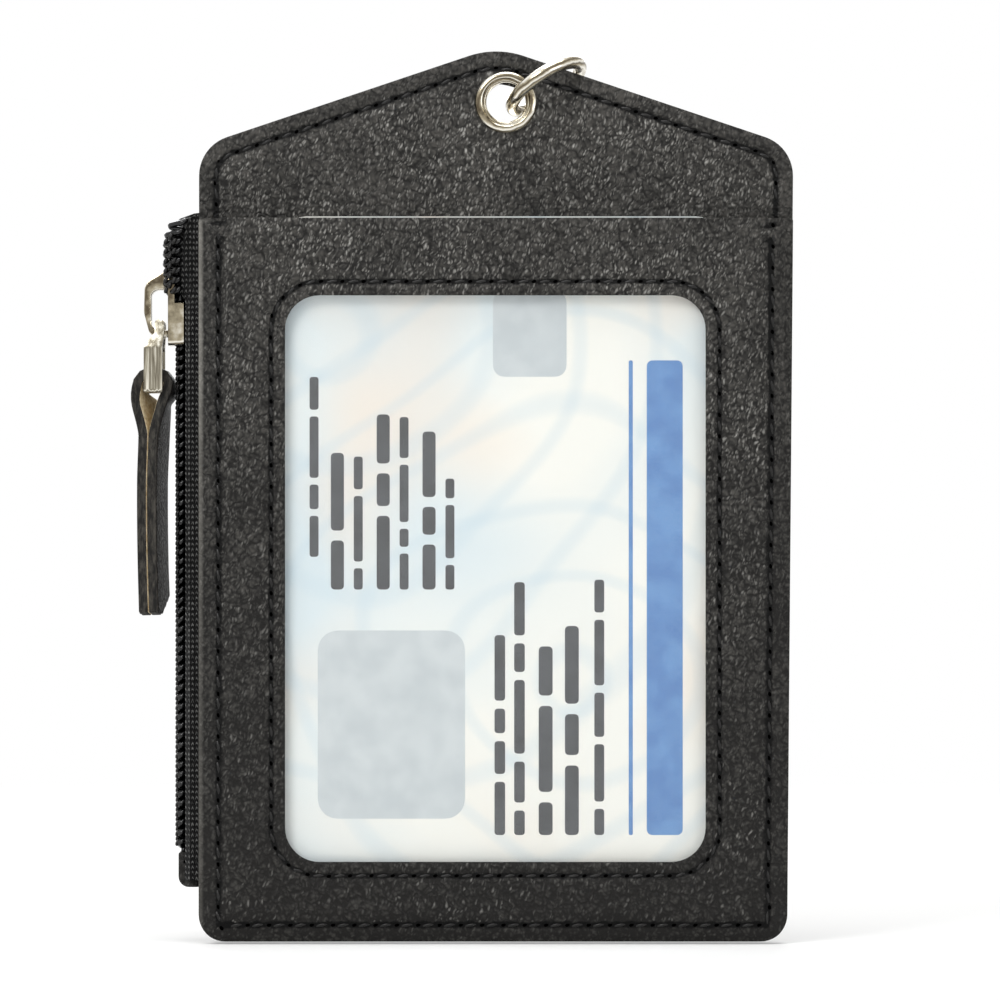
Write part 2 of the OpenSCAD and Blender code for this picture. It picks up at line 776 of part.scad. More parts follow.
window_panel();
clear_window();
id_card();
divider_panel();
divider_lining();
back_panel();
back_lining();
eyelet_barrel();
eyelet_washer();
jump_ring();
zip_tape_front();
zip_tape_back();
zip_coil_front();
zip_coil_back();
zip_end_tab();
slider_body();
slider_bridge();
pull_link();
pull_strap();
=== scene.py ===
"""Looks of a badge wallet in pebbled leather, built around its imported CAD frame.

Everything is in metres in the CAD's own frame: X to the right as seen from the window side,
Y from the window side to the back, Z up. The middle of the eyelet is the origin. Sizes are
written in millimetres and turned to metres by MM.
"""

import json
import logging
import math
from contextlib import contextmanager
from dataclasses import dataclass, field
from enum import Enum
from functools import partial
from typing import Callable, Iterator, Optional, Sequence

import bpy
from mathutils import Matrix, Vector

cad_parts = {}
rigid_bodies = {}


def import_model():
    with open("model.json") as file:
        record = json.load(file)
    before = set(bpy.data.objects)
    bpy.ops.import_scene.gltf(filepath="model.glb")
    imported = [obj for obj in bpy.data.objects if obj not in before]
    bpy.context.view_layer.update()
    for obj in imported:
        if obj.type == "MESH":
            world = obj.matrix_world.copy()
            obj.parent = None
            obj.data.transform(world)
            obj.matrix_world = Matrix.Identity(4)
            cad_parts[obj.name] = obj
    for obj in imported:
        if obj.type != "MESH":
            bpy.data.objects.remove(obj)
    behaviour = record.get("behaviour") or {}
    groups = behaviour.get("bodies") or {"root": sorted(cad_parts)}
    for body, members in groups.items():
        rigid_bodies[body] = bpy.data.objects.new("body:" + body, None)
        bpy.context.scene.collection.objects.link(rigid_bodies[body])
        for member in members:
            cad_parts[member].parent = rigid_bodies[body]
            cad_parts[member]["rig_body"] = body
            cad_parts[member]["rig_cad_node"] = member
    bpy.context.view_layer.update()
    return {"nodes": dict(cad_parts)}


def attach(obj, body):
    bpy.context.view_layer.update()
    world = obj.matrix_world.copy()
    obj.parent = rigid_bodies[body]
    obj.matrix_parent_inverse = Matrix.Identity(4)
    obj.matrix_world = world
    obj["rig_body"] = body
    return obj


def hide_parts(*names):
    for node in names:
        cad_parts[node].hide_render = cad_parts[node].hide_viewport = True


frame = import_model()

MM = 0.001
LOG = logging.getLogger("wallet")
Point = tuple[float, float]
Rows = list[list[Vector]]
Marks = dict[str, list[list[float]]]
Level = Callable[[float, float], float]
Piece = bpy.types.Object
Material = bpy.types.Material
Socket = bpy.types.NodeSocket
Adder = Callable[..., Socket]


class Half(Enum):
    """The two halves of the zip: on the divider, and on the back panel."""

    FRONT = "front"
    BACK = "back"


class Layer(Enum):
    """The places in a skin's list of materials."""

    GRAIN = 0
    FLESH = 1
    EDGE = 2


# Small tools for numbers and shapes


def smooth(t: float) -> float:
    """Rises from 0 to 1 in an S, flat beyond both ends."""
    t = min(1.0, max(0.0, t))
    return t * t * (3 - 2 * t)


def mixed(a: float, b: float, t: float) -> float:
    """Value a share t of the way from a to b."""
    return a + (b - a) * t


def dent(d: float, middle: float, width: float) -> float:
    """Depth share of a groove: 1 at its middle, fading over its width."""
    return math.exp(-(((d - middle) / width) ** 2))


def at(x: float, y: float, z: float) -> Vector:
    """Point in metres from millimetres."""
    return Vector((x * MM, y * MM, z * MM))


def path_length(points: Sequence[Vector]) -> float:
    """Length of a path, in its own unit."""
    return sum((b - a).length for a, b in zip(points, points[1:]))


def capped(rows: Rows) -> Rows:
    """Rows of loops with both ends closed onto the middles of the end loops."""
    first, last = ([sum(row, Vector()) / len(row)] * len(row) for row in (rows[0], rows[-1]))
    return [first, *rows, last]


@dataclass(frozen=True)
class Outline:
    """A rounded outline in X and Z, in millimetres, listed anticlockwise from the front.

    Outlines with equally many corners and equal steps give loops that match point by point.
    """

    corners: tuple[Point, ...]
    radii: tuple[float, ...]
    arc: int = 10
    edge: int = 26
    least_radius: float = 0.02

    def _corner(self, i: int, inset: float) -> tuple[Vector, Vector, Vector, float]:
        """Moves one corner inwards.

        Args:
            i: number of the corner.
            inset: how far its two sides move in.

        Returns:
            The moved corner, the ways to its neighbours, and half its angle.
        """
        a, b, c = (Vector(self.corners[k % len(self.corners)]) for k in (i - 1, i, i + 1))
        u, v = (a - b).normalized(), (c - b).normalized()
        half = math.acos(max(-1.0, min(1.0, u.dot(v)))) / 2
        return b + (u + v).normalized() * (inset / math.sin(half)), u, v, half

    def loop(self, inset: float) -> list[Vector]:
        """Points of the outline moved in by inset millimetres, or out if it is negative.

        Args:
            inset: distance inwards from the outline.

        Returns:
            Closed loop of 2D points, without a repeated end.
        """
        arcs = []
        for i in range(len(self.corners)):
            b, u, v, half = self._corner(i, inset)
            r = max(self.least_radius, self.radii[i] - inset)
            middle = b + (u + v).normalized() * (r / math.sin(half))
            p, q = (b + way * (r / math.tan(half)) - middle for way in (u, v))
            start = math.atan2(p.y, p.x)
            turn = (math.atan2(q.y, q.x) - start + 3 * math.pi) % (2 * math.pi) - math.pi
            arcs.append([middle + Vector((math.cos(start + turn * k / self.arc),
                                          math.sin(start + turn * k / self.arc))) * r
                         for k in range(self.arc + 1)])
        points = []
        for arc, following in zip(arcs, arcs[1:] + arcs[:1]):
            points += arc
            points += [arc[-1].lerp(following[0], k / self.edge) for k in range(1, self.edge)]
        return points

    def distance(self, x: float, z: float) -> float:
        """Measures how far a point lies within the straight sides; corners count as square.

        Args:
            x: place across, in millimetres.
            z: height, in millimetres.

        Returns:
            Distance from the nearest side, negative outside.
        """
        corners, nearest = [Vector(corner) for corner in self.corners], math.inf
        for a, b in zip(corners, corners[1:] + corners[:1]):
            way = (b - a).normalized()
            nearest = min(nearest, way.x * (z - a.y) - way.y * (x - a.x))
        return nearest


def along_path(points: Sequence[Vector], pitch: float) -> list[tuple[Vector, Vector]]:
    """Even places along a path.

    Args:
        points: the path's points.
        pitch: distance between places, in the path's own unit.

    Returns:
        Each place with its direction, the first half a pitch in from the start.
    """
    lengths = [(b - a).length for a, b in zip(points, points[1:])]
    total = sum(lengths)
    count = max(1, round(total / pitch))
    places, i, passed = [], 0, 0.0
    for k in range(count):
        want = total * (k + 0.5) / count
        while passed + lengths[i] < want and i < len(lengths) - 1:
            passed += lengths[i]
            i += 1
        way = (points[i + 1] - points[i]).normalized()
        places.append((points[i] + way * (want - passed), way))
    return places


def tube_rows(path: Sequence[Vector], radius: float, sides: int, cap: float) -> Rows:
    """Rows of a round tube along a path, with rounded ends.

    Args:
        path: points of the tube's middle line, in metres.
        radius: radius of the tube.
        sides: faces round the tube.
        cap: how far the ends round off, as a share of the radius.

    Returns:
        Rows for shaped_grid.
    """
    rows: Rows = []
    last = len(path) - 1
    ways = [(path[min(i + 1, last)] - path[max(i - 1, 0)]).normalized() for i in range(last + 1)]
    turns = [2 * math.pi * k / sides for k in range(sides)]
    rounding = [0.0, 0.35, 0.7, 0.92, 1.0]
    across = ways[0].orthogonal().normalized()
    for i, (p, way) in enumerate(zip(path, ways)):
        across = (across - way * across.dot(way)).normalized()
        other = way.cross(across)
        ring = [across * math.cos(turn) + other * math.sin(turn) for turn in turns]
        shares = {0: rounding, last: rounding[::-1]}.get(i, [1.0])
        for s in shares:
            back = cap * radius * (math.sqrt(max(0.0, 1 - s * s)))
            middle = p - way * back if i == 0 else p + way * back
            rows.append([middle + v * (radius * s) for v in ring])
    return rows


# Small tools for Blender


def deselect() -> None:
    """Leaves edit mode and deselects every object."""
    if bpy.context.object and bpy.context.object.mode != "OBJECT":
        bpy.ops.object.mode_set(mode="OBJECT")
    bpy.ops.object.select_all(action="DESELECT")


def activate(piece: Piece) -> None:
    """Makes a piece the only selected and the active object.

    Args:
        piece: the piece to act on.
    """
    deselect()
    piece.select_set(True)
    bpy.context.view_layer.objects.active = piece


@contextmanager
def editing(piece: Piece) -> Iterator[None]:
    """Edits a piece with all of it selected, for as long as the block lasts.

    Args:
        piece: the piece to edit.

    Yields:
        Nothing.
    """
    activate(piece)
    bpy.ops.object.mode_set(mode="EDIT")
    bpy.ops.mesh.select_all(action="SELECT")
    yield
    bpy.ops.object.mode_set(mode="OBJECT")


def added(operator: Callable[..., set[str]], name: str, **settings: object) -> Piece:
    """Adds a primitive at the origin.

    Args:
        operator: the operator that adds it.
        name: name of the new piece.
        settings: the operator's settings.

    Returns:
        The new piece.
    """
    deselect()
    operator(location=(0, 0, 0), **settings)
    piece = bpy.context.object
    piece.name = piece.data.name = name
    return piece


def shaped_grid(name: str, rows: Rows, closed: bool = False, flip: bool = False,
                values: Optional[Marks] = None) -> Piece:
    """Adds a grid and moves its vertices onto rows of points.

    Args:
        name: name of the new piece.
        rows: rows of equally many points, in metres.
        closed: whether each row is a loop.
        flip: whether the faces are turned over.
        values: attributes by name, each with a value for every point, in rows as the points are.

    Returns:
        The new piece, its doubled vertices merged.
    """
    full = [list(row) + [row[0]] if closed else list(row) for row in rows]
    piece = added(bpy.ops.mesh.primitive_grid_add, name, x_subdivisions=len(full[0]) - 1,
                  y_subdivisions=len(full) - 1, size=1)
    piece.data.vertices.foreach_set("co", [c for row in full for p in row for c in p])
    for key, shares in (values or {}).items():
        attribute = piece.data.attributes.new(key, "FLOAT", "POINT")
        attribute.data.foreach_set("value", [v for row in shares
                                             for v in (row + row[:1] if closed else row)])
    with editing(piece):
        bpy.ops.mesh.remove_doubles(threshold=1e-7)
        if flip:
            bpy.ops.mesh.flip_normals()
    return piece


def modify(piece: Piece, kind: str, **settings: object) -> None:
    """Adds a modifier to a piece, sets it and applies it.

    Args:
        piece: the piece to change.
        kind: the modifier's type.
        settings: the modifier's own properties.
    """
    activate(piece)
    modifier = piece.modifiers.new(kind.title(), kind)
    for key, value in settings.items():
        setattr(modifier, key, value)
    bpy.ops.object.modifier_apply(modifier=modifier.name)


def soften(piece: Piece, width: float, angle: float, segments: int = 2,
           **settings: object) -> None:
    """Bevels the edges sharper than angle degrees, width millimetres wide."""
    modify(piece, "BEVEL", width=width * MM, segments=segments, limit_method="ANGLE",
           angle_limit=math.radians(angle), harden_normals=False, **settings)


def finish_mesh(piece: Piece, angle: float = 40.0) -> Piece:
    """Points the faces of a closed piece outwards and smooths them.

    Args:
        piece: the piece to finish.
        angle: angle in degrees up to which edges are smooth.

    Returns:
        The same piece.
    """
    with editing(piece):
        bpy.ops.mesh.normals_make_consistent(inside=False)
    bpy.ops.object.shade_smooth_by_angle(angle=math.radians(angle))
    return piece


def joined(name: str, pieces: Sequence[Piece]) -> Piece:
    """Joins pieces into one.

    Args:
        name: name of the joined piece.
        pieces: the pieces, which it uses up.

    Returns:
        The joined piece.
    """
    activate(pieces[0])
    for piece in pieces:
        piece.select_set(True)
    bpy.ops.object.join()
    piece = bpy.context.object
    piece.name = piece.data.name = name
    return piece


def copied(pattern: Piece, placing: Matrix) -> Piece:
    """Copies a pattern with its own mesh.

    Args:
        pattern: the piece to copy.
        placing: where the copy goes, taken up by its mesh.

    Returns:
        The copy.
    """
    piece = pattern.copy()
    piece.data = pattern.data.copy()
    piece.data.transform(placing)
    bpy.context.scene.collection.objects.link(piece)
    return piece


def coat(piece: Piece, *materials: Material) -> Piece:
    """Adds materials to a piece.

    Args:
        piece: the piece.
        materials: materials in the order of the mesh's slots.

    Returns:
        The same piece.
    """
    for material in materials:
        piece.data.materials.append(material)
    return piece


def thickened(piece: Piece, materials: Sequence[Material], thickness: float, offset: float,
              bevel: float, **bevelled: object) -> Piece:
    """Turns a surface into leather with a grain side, a flesh side and a cut edge.

    Args:
        piece: the surface.
        materials: materials of the two sides and of the edge, as Layer counts them.
        thickness: thickness of the leather, in millimetres.
        offset: -1 to grow against the faces, 1 to grow with them.
        bevel: width of the rubbed edge, in millimetres.
        bevelled: other properties of the bevel.

    Returns:
        The closed piece.
    """
    coat(piece, *materials)
    modify(piece, "SOLIDIFY", thickness=thickness * MM, offset=offset, use_even_offset=False,
           material_offset=Layer.FLESH.value, material_offset_rim=Layer.EDGE.value)
    soften(piece, bevel, 50, **bevelled)
    return finish_mesh(piece, 50)


def dress(piece: Piece, body: str, materials: Sequence[Material] = (),
          replaced: Sequence[str] = ()) -> Piece:
    """Gives a finished piece its materials and its body, and hides the CAD nodes that it stands
    for.

    Args:
        piece: the finished piece.
        body: name of the body that carries it.
        materials: its materials, where it has none yet.
        replaced: CAD nodes that the piece stands for.

    Returns:
        The same piece.
    """
    coat(piece, *materials)
    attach(piece, body)
    if replaced:
        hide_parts(*replaced)
    LOG.info("%s: %d faces on %s", piece.name, len(piece.data.polygons), body)
    return piece


# Materials


def linear(hex_code: str) -> tuple[float, float, float, float]:
    """Turns a colour linear.

    Args:
        hex_code: sRGB colour, such as #102030.

    Returns:
        Linear red, green and blue, and a full alpha.
    """
    parts = [int(hex_code[i:i + 2], 16) / 255 for i in (1, 3, 5)]
    r, g, b = (c / 12.92 if c <= 0.04045 else ((c + 0.055) / 1.055) ** 2.4 for c in parts)
    return (r, g, b, 1.0)


def per_mm(size: float) -> float:
    """Texture scale at which one cell of a pattern is size millimetres wide."""
    return 1 / (size * MM)


def feed(node: bpy.types.Node, inputs: dict[str | int, object]) -> None:
    """Sets the inputs of a node, or links them.

    Args:
        node: the node.
        inputs: input name or number to a value or to the socket that feeds it.
    """
    for key, value in inputs.items():
        if isinstance(value, Socket):
            node.id_data.links.new(value, node.inputs[key])
        else:
            node.inputs[key].default_value = value


def add_node(tree: bpy.types.NodeTree, kind: str, inputs: Optional[dict] = None,
             out: str | int = 0, stops: Sequence[tuple[float, str]] = (),
             **settings: object) -> Socket:
    """Adds a node, sets it and links it.

    Args:
        tree: node tree that gets the node.
        kind: the node's type name, without its ShaderNode prefix.
        inputs: input name or number to a value or to the socket that feeds it.
        out: name or number of the output that is wanted.
        stops: places and hex codes of a colour ramp.
        settings: the node's own properties.

    Returns:
        The wanted output.
    """
    node = tree.nodes.new("ShaderNode" + kind)
    for key, value in settings.items():
        setattr(node, key, value)
    for i, (place, code) in enumerate(stops):
        elements = node.color_ramp.elements
        element = elements[i] if i < len(elements) else elements.new(1.0)
        element.position, element.color = place, linear(code)
    feed(node, inputs or {})
    return node.outputs[out]


@dataclass(frozen=True)
class Finish:
    """A finish of the wallet: a Principled material, fed by what each kind works out."""

    name: str

    def inputs(self, node: Adder, place: Socket) -> dict[str, object]:
        """What feeds the shader, by input; node adds a node, and place is in metres."""
        raise NotImplementedError

    def material(self) -> Material:
        """Builds the material.

        Returns:
            Material named for the finish.
        """
        material = bpy.data.materials.new(self.name)
        material.use_nodes = True
        node = partial(add_node, material.node_tree)
        feed(material.node_tree.nodes["Principled BSDF"],
             self.inputs(node, node("TexCoord", out="Object")))
        return material


@dataclass(frozen=True)
class PebbledLeather(Finish):
    """Cowhide, drum dyed black and embossed with a fine grain, semi-gloss.

    Painted highlights stand for the light caught by the grain: short slanting flecks in the colour,
    close and dim towards the peak, sparse and bright lower down. Shallow creases part low pebbles
    under painted shade, and the seams lie in grooves darkened by painted shade.
    """

    name: str = "Leather pebbled semi-gloss"
    # Tones of the pebbles: painted shade in the creases, painted light on the crowns.
    crease_shade: str = "#1f1e1d"
    pebble_tone: str = "#333230"
    crown: str = "#464441"
    # Colours of the painted highlight flecks.
    dim_highlight: str = "#94928d"
    bright_highlight: str = "#dddbd5"
    # Tone of the pale band along an edge.
    edge_band_tone: str = "#a5a29b"
    # Near black of the painted shade in the seams' grooves.
    groove_shade_tone: str = "#030303"
    pebble: float = 1.3
    fleck_size: float = 0.29
    highlight_share: float = 1.0
    slant: float = 18.0
    drawn_out: float = 2.3
    lift: float = 0.13
    roughness: Point = (0.34, 0.56)
    foot: float = -100.0

    def _pebbles(self, node: Adder, place: Socket) -> Socket:
        """Height of the pebbles, with fine crumbs on them.

        Args:
            node: adds a node to the material.
            place: where on the leather.

        Returns:
            The height, about 0 to 1.
        """
        edge = node("TexVoronoi", {"Vector": place, "Scale": per_mm(self.pebble)}, "Distance",
                    feature="DISTANCE_TO_EDGE")
        small = node("TexVoronoi", {"Vector": place, "Scale": per_mm(self.pebble * 0.36)},
                     "Distance", feature="F1")
        top = node("MapRange", {"Value": edge, "From Max": 0.24}, interpolation_type="SMOOTHSTEP")
        crumbs = node("MapRange", {"Value": small, "From Min": 0.75, "From Max": 0.1})
        return node("Mix", {0: 0.6, 2: top, 3: crumbs})

    def _highlight_flecks(self, node: Adder, place: Socket, size: float, least: float) -> Socket:
        """Share of painted highlight in the flecks: small spots in a part of the cells.

        Args:
            node: adds a node to the material.
            place: where on the leather, drawn out along the flecks.
            size: width of a cell, in millimetres.
            least: share of the cells that stay dark.

        Returns:
            The share, 0 to 1.
        """
        cell = node("TexVoronoi", {"Vector": place, "Scale": per_mm(size)}, "Distance",
                    feature="F1")
        spot = node("MapRange", {"Value": cell, "From Min": 0.48, "From Max": 0.08})
        chance = node("SeparateXYZ", {0: cell.node.outputs["Color"]})
        some = node("MapRange", {"Value": chance, "From Min": least, "To Max": self.highlight_share})
        return node("Math", {0: spot, 1: some}, operation="MULTIPLY")

    def _painted_highlights(self, node: Adder, place: Socket, spot: Socket, tone: Socket) -> Socket:
        """Paints both kinds of highlight flecks into a tone.

        Args:
            node: adds a node to the material.
            place: where on the leather.
            spot: the same, a little wandering.
            tone: tone without painted highlights.

        Returns:
            The tone with its painted highlights.
        """
        drawn = node("Mapping", {"Vector": spot, "Scale": (1.0, 1.0, self.drawn_out),
                                 "Rotation": (0.0, math.radians(self.slant), 0.0)},
                     vector_type="TEXTURE")
        rise = node("SeparateXYZ", {0: place}, 2)
        patch = node("TexNoise", {"Vector": place, "Scale": per_mm(12.0), "Detail": 2.0}, "Fac")
        where = node("MapRange", {"Value": patch, "From Min": 0.36, "From Max": 0.64,
                                  "To Min": 0.5, "To Max": 1.15})
        margin = node("Attribute", out="Fac", attribute_name="margin")
        inner = node("MapRange", {"Value": margin, "To Min": 1.0, "To Max": 0.35})
        # Painted highlights: dim flecks in most cells, bright ones in few, both more often towards
        # the top and fewer in the pressed margins.
        for size, least, code, low, high in (
                (self.fleck_size, 0.0, self.dim_highlight, 0.03, 0.95),
                (self.fleck_size * 1.3, 0.62, self.bright_highlight, 0.2, 0.5)):
            upper = node("MapRange", {"Value": rise, "From Min": self.foot * MM,
                                      "From Max": -12 * MM, "To Min": low, "To Max": high})
            mostly = node("Math", {0: upper, 1: inner}, operation="MULTIPLY")
            share = node("Math", {0: mostly, 1: where}, operation="MULTIPLY")
            highlight = node("Math", {0: self._highlight_flecks(node, drawn, size, least), 1: share},
                         operation="MULTIPLY")
            tone = node("Mix", {0: highlight, 6: tone, 7: linear(code)}, 2, data_type="RGBA")
        return tone

    def _shade(self, node: Adder, place: Socket, height: Socket) -> Socket:
        """Share of painted light: more on high pebbles, patchy, falling off towards the foot.

        Args:
            node: adds a node to the material.
            place: where on the leather.
            height: height of the pebbles.

        Returns:
            The share, about 0 to 1.
        """
        broad = node("TexNoise", {"Vector": place, "Scale": per_mm(8.0), "Detail": 3.0}, "Fac")
        level = node("MapRange", {"Value": broad, "From Min": 0.3, "From Max": 0.7,
                                  "To Min": -0.16, "To Max": 0.18})
        rise = node("SeparateXYZ", {0: place}, 2)
        # Painted shade: darker towards the foot, lighter towards the peak.
        lower = node("MapRange", {"Value": rise, "From Min": self.foot * MM, "From Max": 0.0,
                                  "To Min": -0.3, "To Max": 0.12})
        patchy = node("Math", {0: level, 1: lower}, operation="ADD")
        return node("Math", {0: height, 1: patchy}, operation="ADD")

    def inputs(self, node: Adder, place: Socket) -> dict[str, object]:
        """Pebbles in the relief; in the tone, painted shade in creases and grooves,
        painted highlight flecks and a pale edge band.

        Args:
            node: adds a node to the material.
            place: place on the piece, in metres.

        Returns:
            Values and sockets by the shader's input.
        """
        wander = node("TexNoise", {"Vector": place, "Scale": per_mm(1.6), "Detail": 2.0}, "Color")
        moved = node("VectorMath", {0: wander, 1: (MM,) * 3}, operation="MULTIPLY")
        spot = node("VectorMath", {0: place, 1: moved}, operation="ADD")
        height = self._pebbles(node, spot)
        fine = node("TexNoise", {"Vector": place, "Scale": per_mm(0.28), "Detail": 2.0}, "Fac")
        relief = node("Math", {0: fine, 1: 0.25, 2: height}, operation="MULTIPLY_ADD")
        bump = node("Bump", {"Height": relief, "Strength": 1.0, "Distance": self.lift * MM})
        tone = node("ValToRGB", {"Fac": self._shade(node, place, height)}, stops=(
            (0.12, self.crease_shade), (0.5, self.pebble_tone), (0.95, self.crown)))
        painted_highlight = self._painted_highlights(node, place, spot, tone)
        # Painted shade: the seams' grooves darkened almost to black, with ragged sides.
        groove = node("Attribute", out="Fac", attribute_name="groove")
        ragged = node("TexNoise", {"Vector": place, "Scale": per_mm(0.9), "Detail": 3.0}, "Fac")
        ragged_groove_shade = node("Math", {0: ragged, 1: 1.1, 2: groove}, operation="MULTIPLY_ADD")
        sunk = node("MapRange", {"Value": ragged_groove_shade, "From Min": 0.84, "From Max": 1.18,
                                 "To Max": 0.97})
        # A pale band along the window panel's left edge, paler higher up.
        rubbed = node("Attribute", out="Fac", attribute_name="rubbed")
        banded = node("Mix", {0: rubbed, 6: painted_highlight, 7: linear(self.edge_band_tone)}, 2, data_type="RGBA")
        colour = node("Mix", {0: sunk, 6: banded, 7: linear(self.groove_shade_tone)}, 2, data_type="RGBA")
        gloss = node("MapRange", {"Value": height, "To Min": self.roughness[1],
                                  "To Max": self.roughness[0]})
        return {"Base Color": colour, "Roughness": gloss, "Normal": bump, "IOR": 1.48,
                "Specular IOR Level": 0.12}


@dataclass(frozen=True)
class CutEdge(Finish):
    """Raw cut edge of dyed leather, rubbed smooth: fibres show as short pale streaks."""

    name: str = "Leather cut edge"
    dark: str = "#242220"
    pale: str = "#6e6b66"
    fibre: float = 0.35
    squeeze: float = 0.3
    detail: float = 4.0
    tangle: float = 0.7
    stops: Point = (0.42, 0.68)
    relief: Point = (0.6, 0.08)
    roughness: float = 0.62
    specular: float = 0.15

    def inputs(self, node: Adder, place: Socket) -> dict[str, object]:
        """Fibres in the tone and in the relief, without gloss.

        Args:
            node: adds a node to the material.
            place: place on the piece, in metres.

        Returns:
            Values and sockets by the shader's input.
        """
        drawn = node("Mapping", {"Vector": place, "Scale": (1.0, 1.0, self.squeeze)})
        fibres = node("TexNoise", {"Vector": drawn, "Scale": per_mm(self.fibre),
                                   "Detail": self.detail, "Roughness": self.tangle}, "Fac")
        tone = node("ValToRGB", {"Fac": fibres}, stops=(
            (self.stops[0], self.dark), (self.stops[1], self.pale)))
        bump = node("Bump", {"Height": fibres, "Strength": self.relief[0],
                             "Distance": self.relief[1] * MM})
        return {"Base Color": tone, "Normal": bump, "Roughness": self.roughness,
                "Specular IOR Level": self.specular}


@dataclass(frozen=True)
class FleshSide(CutEdge):
    """Undyed flesh side of leather: tan, matt and fibrous."""

    name: str = "Leather flesh side"
    dark: str = "#bda77e"
    pale: str = "#f0e6cc"
    fibre: float = 0.5
    squeeze: float = 1.0
    detail: float = 5.0
    tangle: float = 0.65
    stops: Point = (0.35, 0.7)
    relief: Point = (0.5, 0.1)
    roughness: float = 0.85
    specular: float = 0.5


@dataclass(frozen=True)
class WovenCloth(Finish):
    """Filament cloth in plain weave, dyed through: fine over and under threads."""

    name: str = "Lining cloth woven"
    dark: str = "#101012"
    pale: str = "#26262a"
    thread: float = 0.4
    axes: tuple[int, int] = (0, 2)

    def inputs(self, node: Adder, place: Socket) -> dict[str, object]:
        """Two crossing waves of threads.

        Args:
            node: adds a node to the material.
            place: place on the piece, in metres.

        Returns:
            Values and sockets by the shader's input.
        """
        waves = []
        for axis in self.axes:
            turn = node("Math", {0: node("SeparateXYZ", {0: place}, axis),
                                 1: math.pi / (self.thread * MM)}, operation="MULTIPLY")
            waves.append(node("Math", {0: turn}, operation="SINE"))
        weave = node("Math", {0: waves[0], 1: waves[1]}, operation="MULTIPLY")
        height = node("MapRange", {"Value": weave, "From Min": -1.0})
        tone = node("ValToRGB", {"Fac": height}, stops=((0.2, self.dark), (0.9, self.pale)))
        bump = node("Bump", {"Height": height, "Strength": 0.7, "Distance": 0.1 * MM})
        return {"Base Color": tone, "Normal": bump, "Roughness": 0.8}


@dataclass(frozen=True)
class KnitTape(Finish):
    """Warp-knitted zip tape: upright wales of small loops, each a V with a painted highlight on its
    crown.
    """

    name: str = "Zip tape knitted"
    dark: str = "#040404"
    mid: str = "#161616"
    # Colour of the painted highlight on the loops' crowns.
    painted_highlight: str = "#747472"
    wale: float = 0.46
    course: float = 0.66
    leg: float = 1.3

    def inputs(self, node: Adder, place: Socket) -> dict[str, object]:
        """Vs from the place across the tape and the height.

        Args:
            node: adds a node to the material.
            place: place on the piece, in metres.

        Returns:
            Values and sockets by the shader's input.
        """
        across = node("Attribute", out="Fac", attribute_name="across")
        wales = node("Math", {0: across, 1: per_mm(self.wale)}, operation="MULTIPLY")
        inside = node("Math", {0: wales}, operation="FRACT")
        centred = node("Math", {0: inside, 1: 0.5}, operation="SUBTRACT")
        side = node("Math", {0: centred}, operation="ABSOLUTE")
        rise = node("SeparateXYZ", {0: place}, 2)
        courses = node("Math", {0: rise, 1: per_mm(self.course)}, operation="MULTIPLY")
        phase = node("Math", {0: side, 1: self.leg, 2: courses}, operation="MULTIPLY_ADD")
        turn = node("Math", {0: phase, 1: 2 * math.pi}, operation="MULTIPLY")
        wave = node("Math", {0: turn}, operation="SINE")
        loop = node("MapRange", {"Value": wave, "From Min": -1.0})
        ridge = node("MapRange", {"Value": side, "From Min": 0.5, "From Max": 0.2})
        height = node("Math", {0: loop, 1: ridge}, operation="MULTIPLY")
        noise = node("TexNoise", {"Vector": place, "Scale": per_mm(0.45), "Detail": 2.0}, "Fac")
        uneven = node("Math", {0: noise, 1: 0.5}, operation="SUBTRACT")
        rough = node("Math", {0: uneven, 1: 1.9, 2: height}, operation="MULTIPLY_ADD")
        # Tone from the loops' height: painted shade between them, painted highlight on each crown.
        tone = node("ValToRGB", {"Fac": rough}, stops=(
            (0.15, self.dark), (0.6, self.mid), (1.0, self.painted_highlight)))
        bump = node("Bump", {"Height": height, "Strength": 0.9, "Distance": 0.25 * MM})
        return {"Base Color": tone, "Normal": bump, "Roughness": 0.5, "Specular IOR Level": 0.2}


@dataclass(frozen=True)
class Filament(Finish):
    """Extruded nylon or bonded thread: dark, with a soft plastic shine."""

    tone: str
    roughness: float
    specular: float

    def inputs(self, node: Adder, place: Socket) -> dict[str, object]:
        """Faint drawing lines in the shine.

        Args:
            node: adds a node to the material.
            place: place on the piece, in metres.

        Returns:
            Values and sockets by the shader's input.
        """
        noise = node("TexNoise", {"Vector": place, "Scale": per_mm(0.4), "Detail": 2.0}, "Fac")
        gloss = node("MapRange", {"Value": noise, "To Min": self.roughness - 0.08,
                                  "To Max": self.roughness + 0.14})
        return {"Base Color": linear(self.tone), "Roughness": gloss, "IOR": 1.53,
                "Specular IOR Level": self.specular}


